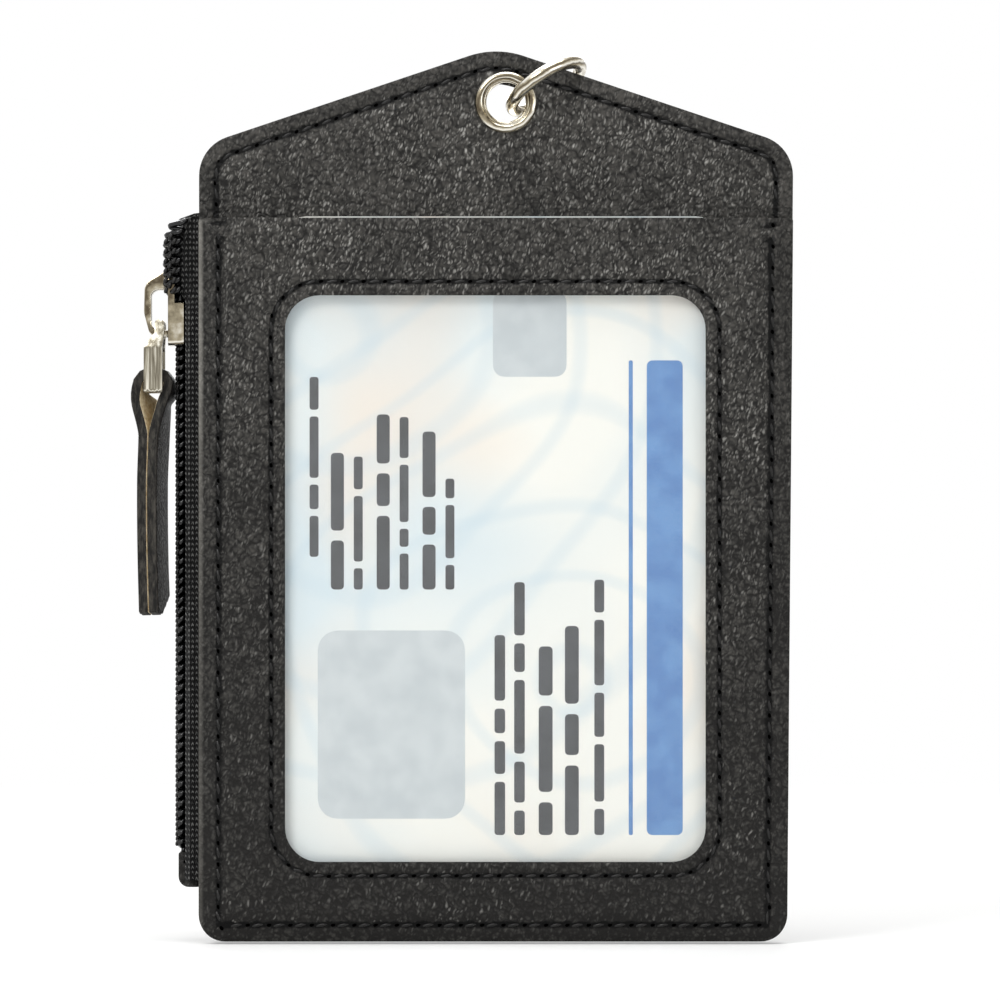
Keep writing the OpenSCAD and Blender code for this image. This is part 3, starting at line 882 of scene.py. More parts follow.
@dataclass(frozen=True)
class Nickel(Finish):
    """Nickel plate over zinc or steel: warm white metal, polished and a little rubbed.

    Its faces take a painted reflection from the way they point, standing in for a room mirrored
    in plated metal: bright to the upper left, a brown band below it and paler again beneath.
    Smudges break them.
    """

    name: str = "Nickel plate polished"
    # Tones of the painted reflection bands.
    dark: str = "#5a5040"
    middle: str = "#a59b84"
    bright_reflection: str = "#f6f2e7"
    roughness: Point = (0.1, 0.26)
    mark: float = 1.3
    squeeze: float = 1.0
    relief: float = 0.12
    uneven: float = 0.6
    painted_reflection_way: tuple[float, float, float] = (-0.42, -0.3, 0.86)

    def inputs(self, node: Adder, place: Socket) -> dict[str, object]:
        """Painted reflection from the face's own way, with smudges, or lines where the marks are
        squeezed.

        Args:
            node: adds a node to the material.
            place: place on the piece, in metres.

        Returns:
            Values and sockets by the shader's input.
        """
        drawn = node("Mapping", {"Vector": place, "Scale": (1.0, 1.0, self.squeeze)})
        noise = node("TexNoise", {"Vector": drawn, "Scale": per_mm(self.mark), "Detail": 3.0},
                     "Fac")
        bump = node("Bump", {"Height": noise, "Strength": self.relief, "Distance": 0.05 * MM})
        # Painted reflection: the tone follows how the face points against a way up, to the left and
        # to the front.
        reflection_facing = node("VectorMath", {0: node("TexCoord", out="Normal"), 1: self.painted_reflection_way}, "Value",
                  operation="DOT_PRODUCT")
        centred = node("Math", {0: noise, 1: 0.5}, operation="SUBTRACT")
        turned = node("Math", {0: centred, 1: self.uneven, 2: reflection_facing}, operation="MULTIPLY_ADD")
        share = node("MapRange", {"Value": turned, "From Min": -1.0})
        tone = node("ValToRGB", {"Fac": share}, stops=(
            (0.0, self.middle), (0.14, self.bright_reflection), (0.26, self.middle), (0.36, self.dark),
            (0.48, self.bright_reflection), (0.6, self.middle), (0.68, self.dark), (0.8, self.middle),
            (0.92, self.bright_reflection)))
        gloss = node("MapRange", {"Value": noise, "From Min": 0.3, "From Max": 0.7,
                                  "To Min": self.roughness[1], "To Max": self.roughness[0]})
        return {"Base Color": tone, "Roughness": gloss, "Normal": bump, "Metallic": 1.0}


@dataclass(frozen=True)
class BrushedNickel(Nickel):
    """Nickel plate over brushed metal: greyer, with soft upright lines in its shine."""

    name: str = "Nickel plate brushed"
    # Tones of its painted reflection bands, greyer.
    dark: str = "#6f685a"
    middle: str = "#a8a291"
    bright_reflection: str = "#ece8db"
    roughness: Point = (0.2, 0.38)
    mark: float = 0.4
    squeeze: float = 0.05
    relief: float = 0.35
    uneven: float = 1.8


@dataclass(frozen=True)
class ClearVinyl(Finish):
    """Calendered soft vinyl sheet: clear, a little hazy, with slow ripples in its shine."""

    name: str = "Vinyl sheet clear"
    tone: str = "#f2f5f6"
    haze: float = 0.045

    def inputs(self, node: Adder, place: Socket) -> dict[str, object]:
        """Mostly see-through, with a rippled gloss.

        Args:
            node: adds a node to the material.
            place: place on the piece, in metres.

        Returns:
            Values and sockets by the shader's input.
        """
        noise = node("TexNoise", {"Vector": place, "Scale": per_mm(16.0), "Detail": 2.0}, "Fac")
        bump = node("Bump", {"Height": noise, "Strength": 0.5, "Distance": 1.2 * MM})
        return {"Base Color": linear(self.tone), "Alpha": self.haze, "Roughness": 0.08,
                "Specular IOR Level": 0.4, "Normal": bump}


@dataclass(frozen=True)
class PrintedCard(Finish):
    """Laminated card: pale security print of soft washes and fine waves under a satin film."""

    name: str = "Card laminated print"
    ground: str = "#f1f1ea"
    wash: str = "#cfdfe6"
    blush: str = "#efe2d3"
    line: str = "#b9d0dc"

    def inputs(self, node: Adder, place: Socket) -> dict[str, object]:
        """Two washes and two sets of fine rings.

        Args:
            node: adds a node to the material.
            place: place on the piece, in metres.

        Returns:
            Values and sockets by the shader's input.
        """
        colour = linear(self.ground)
        for size, low, high, code in ((34.0, 0.42, 0.72, self.wash), (26.0, 0.5, 0.75, self.blush)):
            noise = node("TexNoise", {"Vector": place, "Scale": per_mm(size), "Detail": 1.0}, "Fac")
            spread = node("MapRange", {"Value": noise, "From Min": low, "From Max": high})
            colour = node("Mix", {0: spread, 6: colour, 7: linear(code)}, 2, data_type="RGBA")
        for x, z, pitch in ((8.0, -72.0, 1.5), (-22.0, -30.0, 1.9)):
            centred = node("Mapping", {"Vector": place, "Location": (-x * MM, 0.0, -z * MM)})
            rings = node("TexWave", {"Vector": centred, "Scale": per_mm(pitch) / 20,
                                     "Distortion": 6.0, "Detail": 0.0, "Detail Scale": 1.0},
                         "Fac", wave_type="RINGS", rings_direction="SPHERICAL")
            thin = node("MapRange", {"Value": rings, "From Min": 0.86, "To Max": 0.26})
            colour = node("Mix", {0: thin, 6: colour, 7: linear(self.line)}, 2, data_type="RGBA")
        return {"Base Color": colour, "Roughness": 0.35}


@dataclass(frozen=True)
class Ink(Finish):
    """Offset ink under the card's film: flat colour with a slight uneven screen."""

    dark: str
    pale: str
    screen: float = 3.0
    detail: float = 5.0
    stops: Point = (0.35, 0.65)
    roughness: float = 0.4

    def inputs(self, node: Adder, place: Socket) -> dict[str, object]:
        """Two close tones in soft clouds.

        Args:
            node: adds a node to the material.
            place: place on the piece, in metres.

        Returns:
            Values and sockets by the shader's input.
        """
        noise = node("TexNoise", {"Vector": place, "Scale": per_mm(self.screen),
                                  "Detail": self.detail}, "Fac")
        tone = node("ValToRGB", {"Fac": noise}, stops=(
            (self.stops[0], self.dark), (self.stops[1], self.pale)))
        return {"Base Color": tone, "Roughness": self.roughness}


@dataclass(frozen=True)
class FloorCard(Ink):
    """Coated studio card under the wallet: nearly white and matt."""

    name: str = "Floor card pale"
    dark: str = "#f6f6f5"
    pale: str = "#fbfbfa"
    screen: float = 60.0
    detail: float = 2.0
    stops: Point = (0.0, 1.0)
    roughness: float = 0.9


@dataclass
class Finishes:
    """Every material of the wallet, made once."""

    leather: Material = field(default_factory=PebbledLeather().material)
    # Thin leather of the pull, ironed smooth: the same black, calmer, with soft wide painted
    # highlight flecks.
    strap_leather: Material = field(default_factory=PebbledLeather(
        "Leather pull smooth", "#1a1816", "#24211e", "#2f2c28", "#5c5a55", "#6b6862", pebble=0.9,
        fleck_size=0.5, highlight_share=0.5, slant=0.0, lift=0.08).material)
    # Cut edge of the pull, dyed after cutting, so darker than the panels' edges.
    strap_edge: Material = field(default_factory=CutEdge(
        "Leather pull cut edge", "#191817", "#47443f", 0.42).material)
    edge: Material = field(default_factory=CutEdge().material)
    flesh: Material = field(default_factory=FleshSide().material)
    tape: Material = field(default_factory=KnitTape().material)
    lining: Material = field(default_factory=WovenCloth().material)
    # Thick nylon monofilament: near black, with narrow glints.
    coil: Material = field(default_factory=Filament("Nylon coil", "#070708", 0.14, 0.4).material)
    # Bonded polyester thread: softer and a little browner than the leather.
    thread: Material = field(default_factory=Filament(
        "Sewing thread bonded", "#131211", 0.34, 0.3).material)
    # Painted shade of a needle hole: near black, as no light comes back from it.
    hole: Material = field(default_factory=Filament(
        "Needle hole shade", "#010101", 0.9, 0.0).material)
    nickel: Material = field(default_factory=Nickel().material)
    brushed: Material = field(default_factory=BrushedNickel().material)
    vinyl: Material = field(default_factory=ClearVinyl().material)
    card: Material = field(default_factory=PrintedCard().material)
    blue: Material = field(default_factory=Ink("Ink blue", "#4a7cb8", "#5f90c6").material)
    black: Material = field(default_factory=Ink("Ink black", "#2a2b2e", "#3d3f43").material)
    grey: Material = field(default_factory=Ink("Ink grey", "#bfc7ca", "#cbd2d4").material)


@dataclass
class Body:
    """Main sizes of the wallet, in millimetres."""

    left: float = -37.55
    right: float = 35.15
    foot_right: float = 34.35
    middle: float = -1.2
    apex: float = 6.8
    shoulder: float = -5.4
    foot: float = -102.6
    panel_top: float = -14.22
    radii: tuple[float, ...] = (3.3, 3.3, 5.0, 10.5, 5.0)
    panel_radii: tuple[float, ...] = (3.3, 3.3, 0.35, 0.35)
    panel_steps: int = 40
    leather: float = 1.1
    front: float = -3.56
    film: float = -2.46
    pocket: float = 8.0
    flat: float = 30.0
    sewn: float = 4.6
    fold: float = 1.2
    top_close: float = -8.5
    top_open: float = -19.5
    foot_close: float = -99.75
    foot_open: float = -92.15
    seam_in: float = 2.1
    side_seam_in: float = 0.38
    stitch: float = 2.6
    window: tuple[float, float, float, float] = (-26.95, 24.35, -92.8, -23.7)
    window_r: float = 4.2

    def outline(self) -> Outline:
        """Peaked outline of the divider and the back.

        Returns:
            The outline.
        """
        return Outline(((self.left, self.foot), (self.foot_right, self.foot),
                        (self.right, self.shoulder), (self.middle, self.apex),
                        (self.left, self.shoulder)), self.radii)

    def panel(self, narrower: float = 0.0) -> Outline:
        """Straight-topped outline of the window panel.

        Args:
            narrower: how far the two sides are moved in, in millimetres.

        Returns:
            The outline.
        """
        top_right = mixed(self.foot_right, self.right,
                          (self.panel_top - self.foot) / (self.shoulder - self.foot)) - narrower
        left, foot_right = self.left + narrower, self.foot_right - narrower
        return Outline(((left, self.foot), (foot_right, self.foot), (top_right, self.panel_top),
                        (left, self.panel_top)), self.panel_radii, edge=self.panel_steps)

    def opening(self) -> Outline:
        """Outline of the window.

        Returns:
            The outline.
        """
        x0, x1, z0, z1 = self.window
        return Outline(((x0, z0), (x1, z0), (x1, z1), (x0, z1)), (self.window_r,) * 4,
                       edge=self.panel_steps)

    def along(self, z: float) -> float:
        """Depth of the pocket beside the zip.

        Args:
            z: height, in millimetres.

        Returns:
            The depth.
        """
        if z > self.top_open:
            return self.pocket * smooth((self.top_close - z) / (self.top_close - self.top_open))
        return self.pocket * smooth((z - self.foot_close) / (self.foot_open - self.foot_close))

    def depth(self, x: float, z: float) -> float:
        """Depth of the pocket under the back panel.

        Args:
            x: place across, in millimetres.
            z: height, in millimetres.

        Returns:
            The depth, rounded where the two slopes meet.
        """
        far, near = self.right - self.sewn, self.left + self.flat
        a, b = self.pocket * smooth((far - x) / (far - near)), self.along(z)
        h = max(0.0, self.fold - abs(a - b)) / self.fold
        return max(0.0, min(a, b) - h * h * self.fold / 4)


@dataclass
class Seam:
    """A row of stitches along a path on a surface."""

    name: str
    path: list[Vector]
    height: Level
    outward: float
    pitch: float = 2.6
    length: float = 1.75
    thread: float = 0.21
    slant: float = 12.0
    flatness: float = 0.8
    dip: float = 0.16
    hole_radius: float = 0.36
    hole_slant: float = -28.0
    sinks: Point = (0.02, 0.06)

    def stitch(self) -> Piece:
        """Models one stitch along X, its ends dipping into the leather.

        Returns:
            The pattern of the stitches.
        """
        stitch = added(bpy.ops.mesh.primitive_uv_sphere_add, "stitch", segments=8, ring_count=6,
                       radius=self.thread * MM)
        stitch.data.transform(Matrix.Rotation(math.pi / 2, 4, "Y"))
        reach = (self.length / 2 - self.thread) * MM
        for v in stitch.data.vertices:
            v.co.x += math.copysign(reach, v.co.x) if abs(v.co.x) > 1e-6 else 0.0
            v.co.y *= self.flatness
            v.co.y += self.dip * MM * (v.co.x / (self.length / 2 * MM)) ** 2
        return stitch

    def hole(self) -> Piece:
        """Models the painted shade of one needle hole, a flat drop.

        Returns:
            The pattern of the holes.
        """
        hole = added(bpy.ops.mesh.primitive_uv_sphere_add, "hole", segments=8, ring_count=4,
                     radius=self.hole_radius * MM)
        hole.data.transform(Matrix.Rotation(math.radians(self.hole_slant), 4, "Y")
                            @ Matrix.Diagonal((1.0, 0.5, 0.66, 1.0)))
        return hole

    def build(self, finishes: Finishes) -> Piece:
        """Sews the stitches and their holes as one piece.

        Args:
            finishes: the wallet's materials.

        Returns:
            The seam.
        """
        stitch, hole = coat(self.stitch(), finishes.thread), coat(self.hole(), finishes.hole)
        kinds = ((stitch, 0.0, self.slant, self.sinks[0]),
                 (hole, self.pitch / 2, 0.0, self.sinks[1]))
        pieces = []
        for place, way in along_path(self.path, self.pitch):
            turn = math.atan2(way.y, way.x)
            for pattern, shift, slant, sink in kinds:
                spot = place + way * shift
                level = self.height(spot.x, spot.y) - self.outward * sink
                pieces.append(copied(pattern, Matrix.Translation(at(spot.x, level, spot.y))
                                     @ Matrix.Rotation(-turn - math.radians(slant), 4, "Y")
                                     @ Matrix.Diagonal((1.0, -self.outward, 1.0, 1.0))))
        for pattern in (stitch, hole):
            bpy.data.objects.remove(pattern)
        return finish_mesh(joined(self.name, pieces), 60)


@dataclass(frozen=True)
class Press:
    """How far a seam and an edge press leather down, and over what width, in millimetres."""

    seam: float
    seam_width: float
    edge: float
    edge_width: float

    def by_seam(self, side: float, seam_in: float) -> float:
        """How far the leather is pressed down by a seam seam_in from the edge."""
        return self.seam * dent(side, seam_in, self.seam_width)

    def by_edge(self, side: float) -> float:
        """How far the leather is pressed down towards its edge."""
        return self.edge * (1 - smooth(side / self.edge_width))


@dataclass
class LeatherBody:
    """The three leather panels with their seams."""

    body: Body
    finishes: Finishes
    insets: tuple[float, ...] = (0.0, 0.35, 0.8, 1.3, 1.7, 2.1, 2.5, 2.9, 3.25)
    inward_steps: int = 44
    eyelet_hole: float = 2.72
    panel_insets: tuple[float, ...] = (0.0, 0.3, 0.65, 1.05, 1.45, 1.8, 2.1, 2.4, 2.8, 3.3)
    window_insets: tuple[float, ...] = (3.2, 2.6, 2.15, 1.7, 1.25, 0.85, 0.5, 0.22, 0.0)
    between_steps: int = 7
    window_seam: float = 1.7
    rolled: float = 3.8
    # Widths of the painted shade along the seams' grooves, at the sides and round the window.
    groove: float = 0.42
    window_groove_shade: float = 0.36
    divider_press: Press = Press(0.2, 0.5, 0.14, 1.1)
    back_press: Press = Press(0.22, 0.5, 0.12, 1.1)
    side_sink: Point = (0.26, 0.55)
    window_press: Press = Press(0.2, 0.5, 0.16, 0.7)
    mouth_sink: Point = (0.1, 0.9)
    sway: float = 0.07

    def _skin(self, name: str, node: str, rows: Rows, marks: Marks, thinner: float,
              bevel: float) -> Piece:
        """Turns a grain surface into a panel with a cut edge.

        Args:
            name: name of the piece.
            node: the CAD node that it stands for.
            rows: points of the grain side.
            marks: shares for each point by name, such as how much painted shade of a seam's groove
                it takes.
            thinner: how much thinner than its leather it is, in millimetres.
            bevel: width of the rubbed edge, in millimetres.

        Returns:
            The dressed panel.
        """
        grain, edge = self.finishes.leather, self.finishes.edge
        piece = thickened(shaped_grid(name, rows, closed=True, values=marks), (grain, grain, edge),
                          self.body.leather - thinner, -1.0, bevel, material=Layer.GRAIN.value)
        return dress(piece, "wallet", replaced=(node,))

    def _to_hole(self, level: Callable[[float, float, float], float]) -> Rows:
        """Lays rows from the peaked outline in to the eyelet's hole.

        Args:
            level: level of the grain at a place and at a distance in from the outline.

        Returns:
            The rows, the outline first.
        """
        outline, inmost = self.body.outline(), self.insets[-1]
        rows = [[at(p.x, level(p.x, p.y, d), p.y) for p in outline.loop(d)] for d in self.insets]
        last = outline.loop(inmost)
        for k in range(1, self.inward_steps + 1):
            share = k / self.inward_steps
            t = mixed(share, smooth(share), 0.6)
            ring = [p.lerp(p.normalized() * self.eyelet_hole, t) for p in last]
            rows.append([at(q.x, level(q.x, q.y, inmost + 1), q.y) for q in ring])
        return rows

    def _edge_marks(self, rows: Rows) -> Marks:
        """Shares of painted groove shade and of margin for rows whose first ones lie at the insets.

        Args:
            rows: rows of the panel's grain side, the outline first.

        Returns:
            The shares by name, in rows as the points are.
        """
        marks = {}
        for key, shares in (
                ("groove", [dent(d, self.body.seam_in, self.groove) for d in self.insets]),
                ("margin", [self._pressed(d) for d in self.insets])):
            shares += [0.0] * (len(rows) - len(shares))
            marks[key] = [[share] * len(row) for share, row in zip(shares, rows)]
        return marks

    @staticmethod
    def _pressed(side: float) -> float:
        """1 between a sewn side and its seam, where the leather is pressed smooth."""
        return 1 - smooth((side - 1.5) / 0.8)

    def divider_y(self, x: float, z: float, d: float) -> float:
        """Level of the divider's front, d in from its outline."""
        sunk = self.divider_press.by_seam(d, self.body.seam_in) + self.divider_press.by_edge(d)
        return -self.body.leather + sunk - 0.05 * smooth((d - 2.5) / 2)

    def back_y(self, x: float, z: float, d: float) -> float:
        """Level of the back panel's outer face, d in from its outline."""
        sunk = self.back_press.by_seam(d, self.body.seam_in) + self.back_press.by_edge(d)
        return self.body.depth(x, z) + self.body.leather - sunk

    def front_y(self, x: float, z: float) -> float:
        """Level of the window panel's front: rolled sides, sunk seams and a slow sway.

        Args:
            x: place across, in millimetres.
            z: height, in millimetres.

        Returns:
            The level.
        """
        b = self.body
        side, out = self._sides(x, z)
        level = -2 * b.leather + 0.02 + (b.front + 2 * b.leather) * math.sin(
            math.pi / 2 * min(1.0, max(0.0, side) / self.rolled))
        sink, width = self.side_sink
        level += sink * dent(side, b.seam_in, width)
        level += self.window_press.by_seam(out, self.window_seam)
        sink, width = self.mouth_sink
        level += self.window_press.by_edge(out) + sink * (1 - smooth((b.panel_top - z) / width))
        return level - self.sway * math.sin(x / 9.0 + z / 14.0)

    def _sides(self, x: float, z: float) -> Point:
        """Measures how far a point lies from the window panel's edges.

        Args:
            x: place across, in millimetres.
            z: height, in millimetres.

        Returns:
            Distances in from the sewn sides and foot, and out from the window.
        """
        b = self.body
        side = min(b.panel(b.side_seam_in).distance(x, min(z, b.panel_top - 30)), z - b.foot)
        x0, x1, z0, z1 = b.window
        dx = abs(x - (x0 + x1) / 2) - (x1 - x0) / 2 + b.window_r
        dz = abs(z - (z0 + z1) / 2) - (z1 - z0) / 2 + b.window_r
        return side, math.hypot(max(dx, 0.0), max(dz, 0.0)) + min(max(dx, dz), 0.0) - b.window_r

    def _pale_edge_band(self, x: float, z: float) -> float:
        """Share of a pale band along the panel's left edge, beside the zip, less so lower down.

        Args:
            x: place across, in millimetres.
            z: height, in millimetres.

        Returns:
            The share, 0 to 1.
        """
        near = 1 - smooth((x - self.body.left - 0.2) / 0.36)
        below = smooth((self.body.panel_top - z) / 0.4)
        patchy = 0.8 + 0.2 * math.sin(z * 1.9) * math.sin(z * 0.83 + 1.0)
        return near * below * patchy * mixed(0.22, 0.62, smooth((z + 70.0) / 50.0))

    def _margin(self, x: float, z: float) -> float:
        """Share of pressing of a point of the window panel."""
        return self._pressed(self._sides(x, z)[0])

    def _front_groove_shade(self, x: float, z: float) -> float:
        """Share of painted groove shade at a point of the window panel.

        Args:
            x: place across, in millimetres.
            z: height, in millimetres.

        Returns:
            The share, 0 to 1.
        """
        side, out = self._sides(x, z)
        return max(dent(side, self.body.seam_in, self.groove),
                   dent(out, self.window_seam, self.window_groove_shade))

    def window(self) -> None:
        """Builds the panel with the window."""
        panel, opening = self.body.panel(), self.body.opening()
        outer, inner = panel.loop(self.panel_insets[-1]), opening.loop(-self.window_insets[0])
        loops = [panel.loop(d) for d in self.panel_insets]
        loops += [[p.lerp(q, k / self.between_steps) for p, q in zip(outer, inner)]
                  for k in range(1, self.between_steps)]
        loops += [opening.loop(-d) for d in self.window_insets]
        rows = [[at(p.x, self.front_y(p.x, p.y), p.y) for p in loop] for loop in loops]
        marks = {key: [[share(p.x, p.y) for p in loop] for loop in loops] for key, share in (
            ("groove", self._front_groove_shade), ("rubbed", self._pale_edge_band), ("margin", self._margin))}
        self._skin("window_leather", "window_panel", rows, marks, 0.05, 0.2)

    @staticmethod
    def _in_line(points: list[Vector]) -> list[Vector]:
        """Puts the points of a broken loop in line.

        Args:
            points: the points in the loop's order.

        Returns:
            The points from the one after the widest gap.
        """
        gaps = [(b - a).length for a, b in zip(points, points[1:] + points[:1])]
        cut = gaps.index(max(gaps)) + 1
        return points[cut:] + points[:cut]

    def seams(self) -> None:
        """Sews the window seam, the outer seam, the peak's seam and the back's."""
        b = self.body
        opening = b.opening().loop(-self.window_seam)
        outline = b.outline().loop(b.seam_in)
        panel = b.panel(b.side_seam_in).loop(b.seam_in)
        lower = self._in_line([p for p in panel if p.y < b.panel_top - b.seam_in - 0.4])
        ends = [Vector((p.x, b.panel_top - 0.9)) for p in (lower[0], lower[-1])]
        upper = self._in_line([p for p in outline if p.y > b.panel_top + 0.6])
        for name, path, height, outward in (
                ("window_seam", opening + opening[:1], self.front_y, -1.0),
                ("outer_seam", [ends[0], *lower, ends[1]], self.front_y, -1.0),
                ("peak_seam", upper, lambda x, z: self.divider_y(x, z, b.seam_in), -1.0),
                ("back_seam", outline + outline[:1],
                 lambda x, z: self.back_y(x, z, b.seam_in), 1.0)):
            seam = Seam(name, path, height, outward, pitch=b.stitch).build(self.finishes)
            dress(seam, "wallet")

    def build(self) -> None:
        """Builds all three panels and sews them."""
        rows = self._to_hole(self.divider_y)
        self._skin("divider_leather", "divider_panel", rows, self._edge_marks(rows), 0.04, 0.22)
        rows = self._to_hole(self.back_y)
        marks = {key: shares[::-1] for key, shares in self._edge_marks(rows).items()}
        self._skin("back_leather", "back_panel", rows[::-1], marks, 0.04, 0.22)
        self.window()
        self.seams()


@dataclass
class CardWindow:
    """The vinyl sheet, the card and its print."""

    body: Body
    finishes: Finishes
    lap: float = 3.0
    film_steps: tuple[int, int] = (52, 68)
    vinyl: float = 0.2
    ripple: float = 0.05
    card_low: Point = (-27.6, -99.6)
    print_y: float = -2.015
    # Each row of bars: its place across, its start, its thickness and the lengths of its bars.
    lines: tuple[tuple[float, float, float, tuple[float, ...]], ...] = (
        (38.4, 10.0, 1.2, (3.2, 7.0, 5.4, 8.0, 4.0)), (34.8, 10.0, 1.7, (8.5, 5.0, 9.5)),
        (31.6, 10.0, 1.7, (4.0, 10.5, 6.0)), (28.6, 10.0, 1.3, (3.0, 5.0, 9.0, 3.5, 6.5)),
        (26.2, 10.0, 1.3, (6.5, 4.0, 3.0, 8.0)), (20.2, 40.0, 1.1, (3.0, 6.5, 2.4)),
        (17.4, 40.0, 1.6, (5.5, 3.4, 8.0)), (14.6, 40.0, 1.1, (4.4, 2.2, 7.0, 5.0)),
        (11.8, 40.0, 1.6, (9.0, 4.0, 6.0)), (9.0, 40.0, 1.1, (2.6, 8.0, 4.0)),
        (6.2, 40.0, 1.6, (6.0, 9.5)), (3.6, 44.0, 1.1, (5.0, 3.0, 7.5, 4.0)))

    def film(self) -> None:
        """Lays the clear sheet with slow ripples, lapped behind the leather."""
        x0, x1, z0, z1 = self.body.window
        nx, nz = self.film_steps
        rows = []
        for j in range(nz + 1):
            z = mixed(z0 - self.lap, z1 + self.lap, j / nz)
            row = []
            for i in range(nx + 1):
                x = mixed(x0 - self.lap, x1 + self.lap, i / nx)
                wave = math.sin(x / 7.0 + 1.3 * math.sin(z / 19.0)) * math.sin(z / 11.0)
                row.append(at(x, self.body.film + 0.04 + self.ripple * wave, z))
            rows.append(row)
        piece = shaped_grid("window_vinyl", rows)
        modify(piece, "SOLIDIFY", thickness=self.vinyl * MM, offset=-1.0)
        dress(finish_mesh(piece), "wallet", (self.finishes.vinyl,),
              ("clear_window",))

    def card(self) -> None:
        """Gives the CAD card its laminated print."""
        node = frame["nodes"]["id_card"]
        node.data.materials.clear()
        coat(node, self.finishes.card)

    def _mark(self, u: float, v: float, w: float, h: float, r: float, ink: Material) -> Piece:
        """Flat rounded mark on the card.

        Args:
            u: place of its left side across the card.
            v: place of its lower side up the card.
            w: width.
            h: height.
            r: radius of its corners.
            ink: its material.

        Returns:
            The mark.
        """
        x, z = self.card_low[0] + u, self.card_low[1] + v
        outline = Outline(((x, z), (x + w, z), (x + w, z + h), (x, z + h)), (r,) * 4, 5, 2)
        rim = [at(p.x, self.print_y, p.y) for p in outline.loop(0.0)]
        middle = Vector((x + w / 2, z + h / 2))
        rows = [rim, [at(middle.x, self.print_y, middle.y)] * len(rim)]
        return coat(shaped_grid("mark", rows, closed=True), ink)

    def print(self) -> None:
        """Prints plain fields, bars and a band, with no lettering and no picture."""
        f = self.finishes
        marks = [self._mark(44.8, 10.0, 4.4, 58.0, 0.7, f.blue),
                 self._mark(42.6, 10.0, 0.5, 58.0, 0.2, f.blue),
                 self._mark(4.6, 12.0, 18.0, 23.0, 2.4, f.grey),
                 self._mark(26.0, 66.0, 9.0, 10.5, 1.4, f.grey)]
        for u, v, width, lengths in self.lines:
            for length in lengths:
                marks.append(self._mark(u, v, width, length, width * 0.3, f.black))
                v += length + width * 0.75
        dress(joined("card_print", marks), "card")

    def build(self) -> None:
        """Builds the film, the card's finish and its print."""
        self.film()
        self.card()
        self.print()


@dataclass
class Linings:
    """Cloth on both sides of the zip pocket."""

    body: Body
    finishes: Finishes
    cloth: float = 0.2
    tape_side: float = 5.1
    steps: tuple[int, int] = (30, 50)

    def _cloth(self, name: str, node: str, spread: tuple[float, float, float], level: Level,
               leather: str) -> None:
        """Lays a cloth from the zip's tape.

        Args:
            name: name of the cloth.
            node: the CAD node that it stands for.
            spread: X of its far side, and Z of its foot and of its top.
            level: its level at a place.
            leather: the panel that it lies on.
        """
        (x1, z0, z1), (nx, nz) = spread, self.steps
        x0 = self.body.left + self.tape_side
        spots = [[(mixed(x0, x1, i / nx), mixed(z0, z1, j / nz)) for i in range(nx + 1)]
                 for j in range(nz + 1)]
        rows = [[at(x, level(x, z), z) for x, z in row] for row in spots]
        piece = shaped_grid(name, rows, flip=leather == "back_leather")
        modify(piece, "SOLIDIFY", thickness=self.cloth * MM, offset=0.0)
        dress(finish_mesh(piece), "wallet", (self.finishes.lining,), (node,))

    def build(self) -> None:
        """Lays both cloths."""
        self._cloth("divider_cloth", "divider_lining", (21.5, -97.2, -12.2),
                    lambda x, z: 0.13, "divider_leather")
        self._cloth("back_cloth", "back_lining", (18.0, -95.0, -13.5),
                    lambda x, z: max(0.4, self.body.depth(x, z) - 0.16), "back_leather")


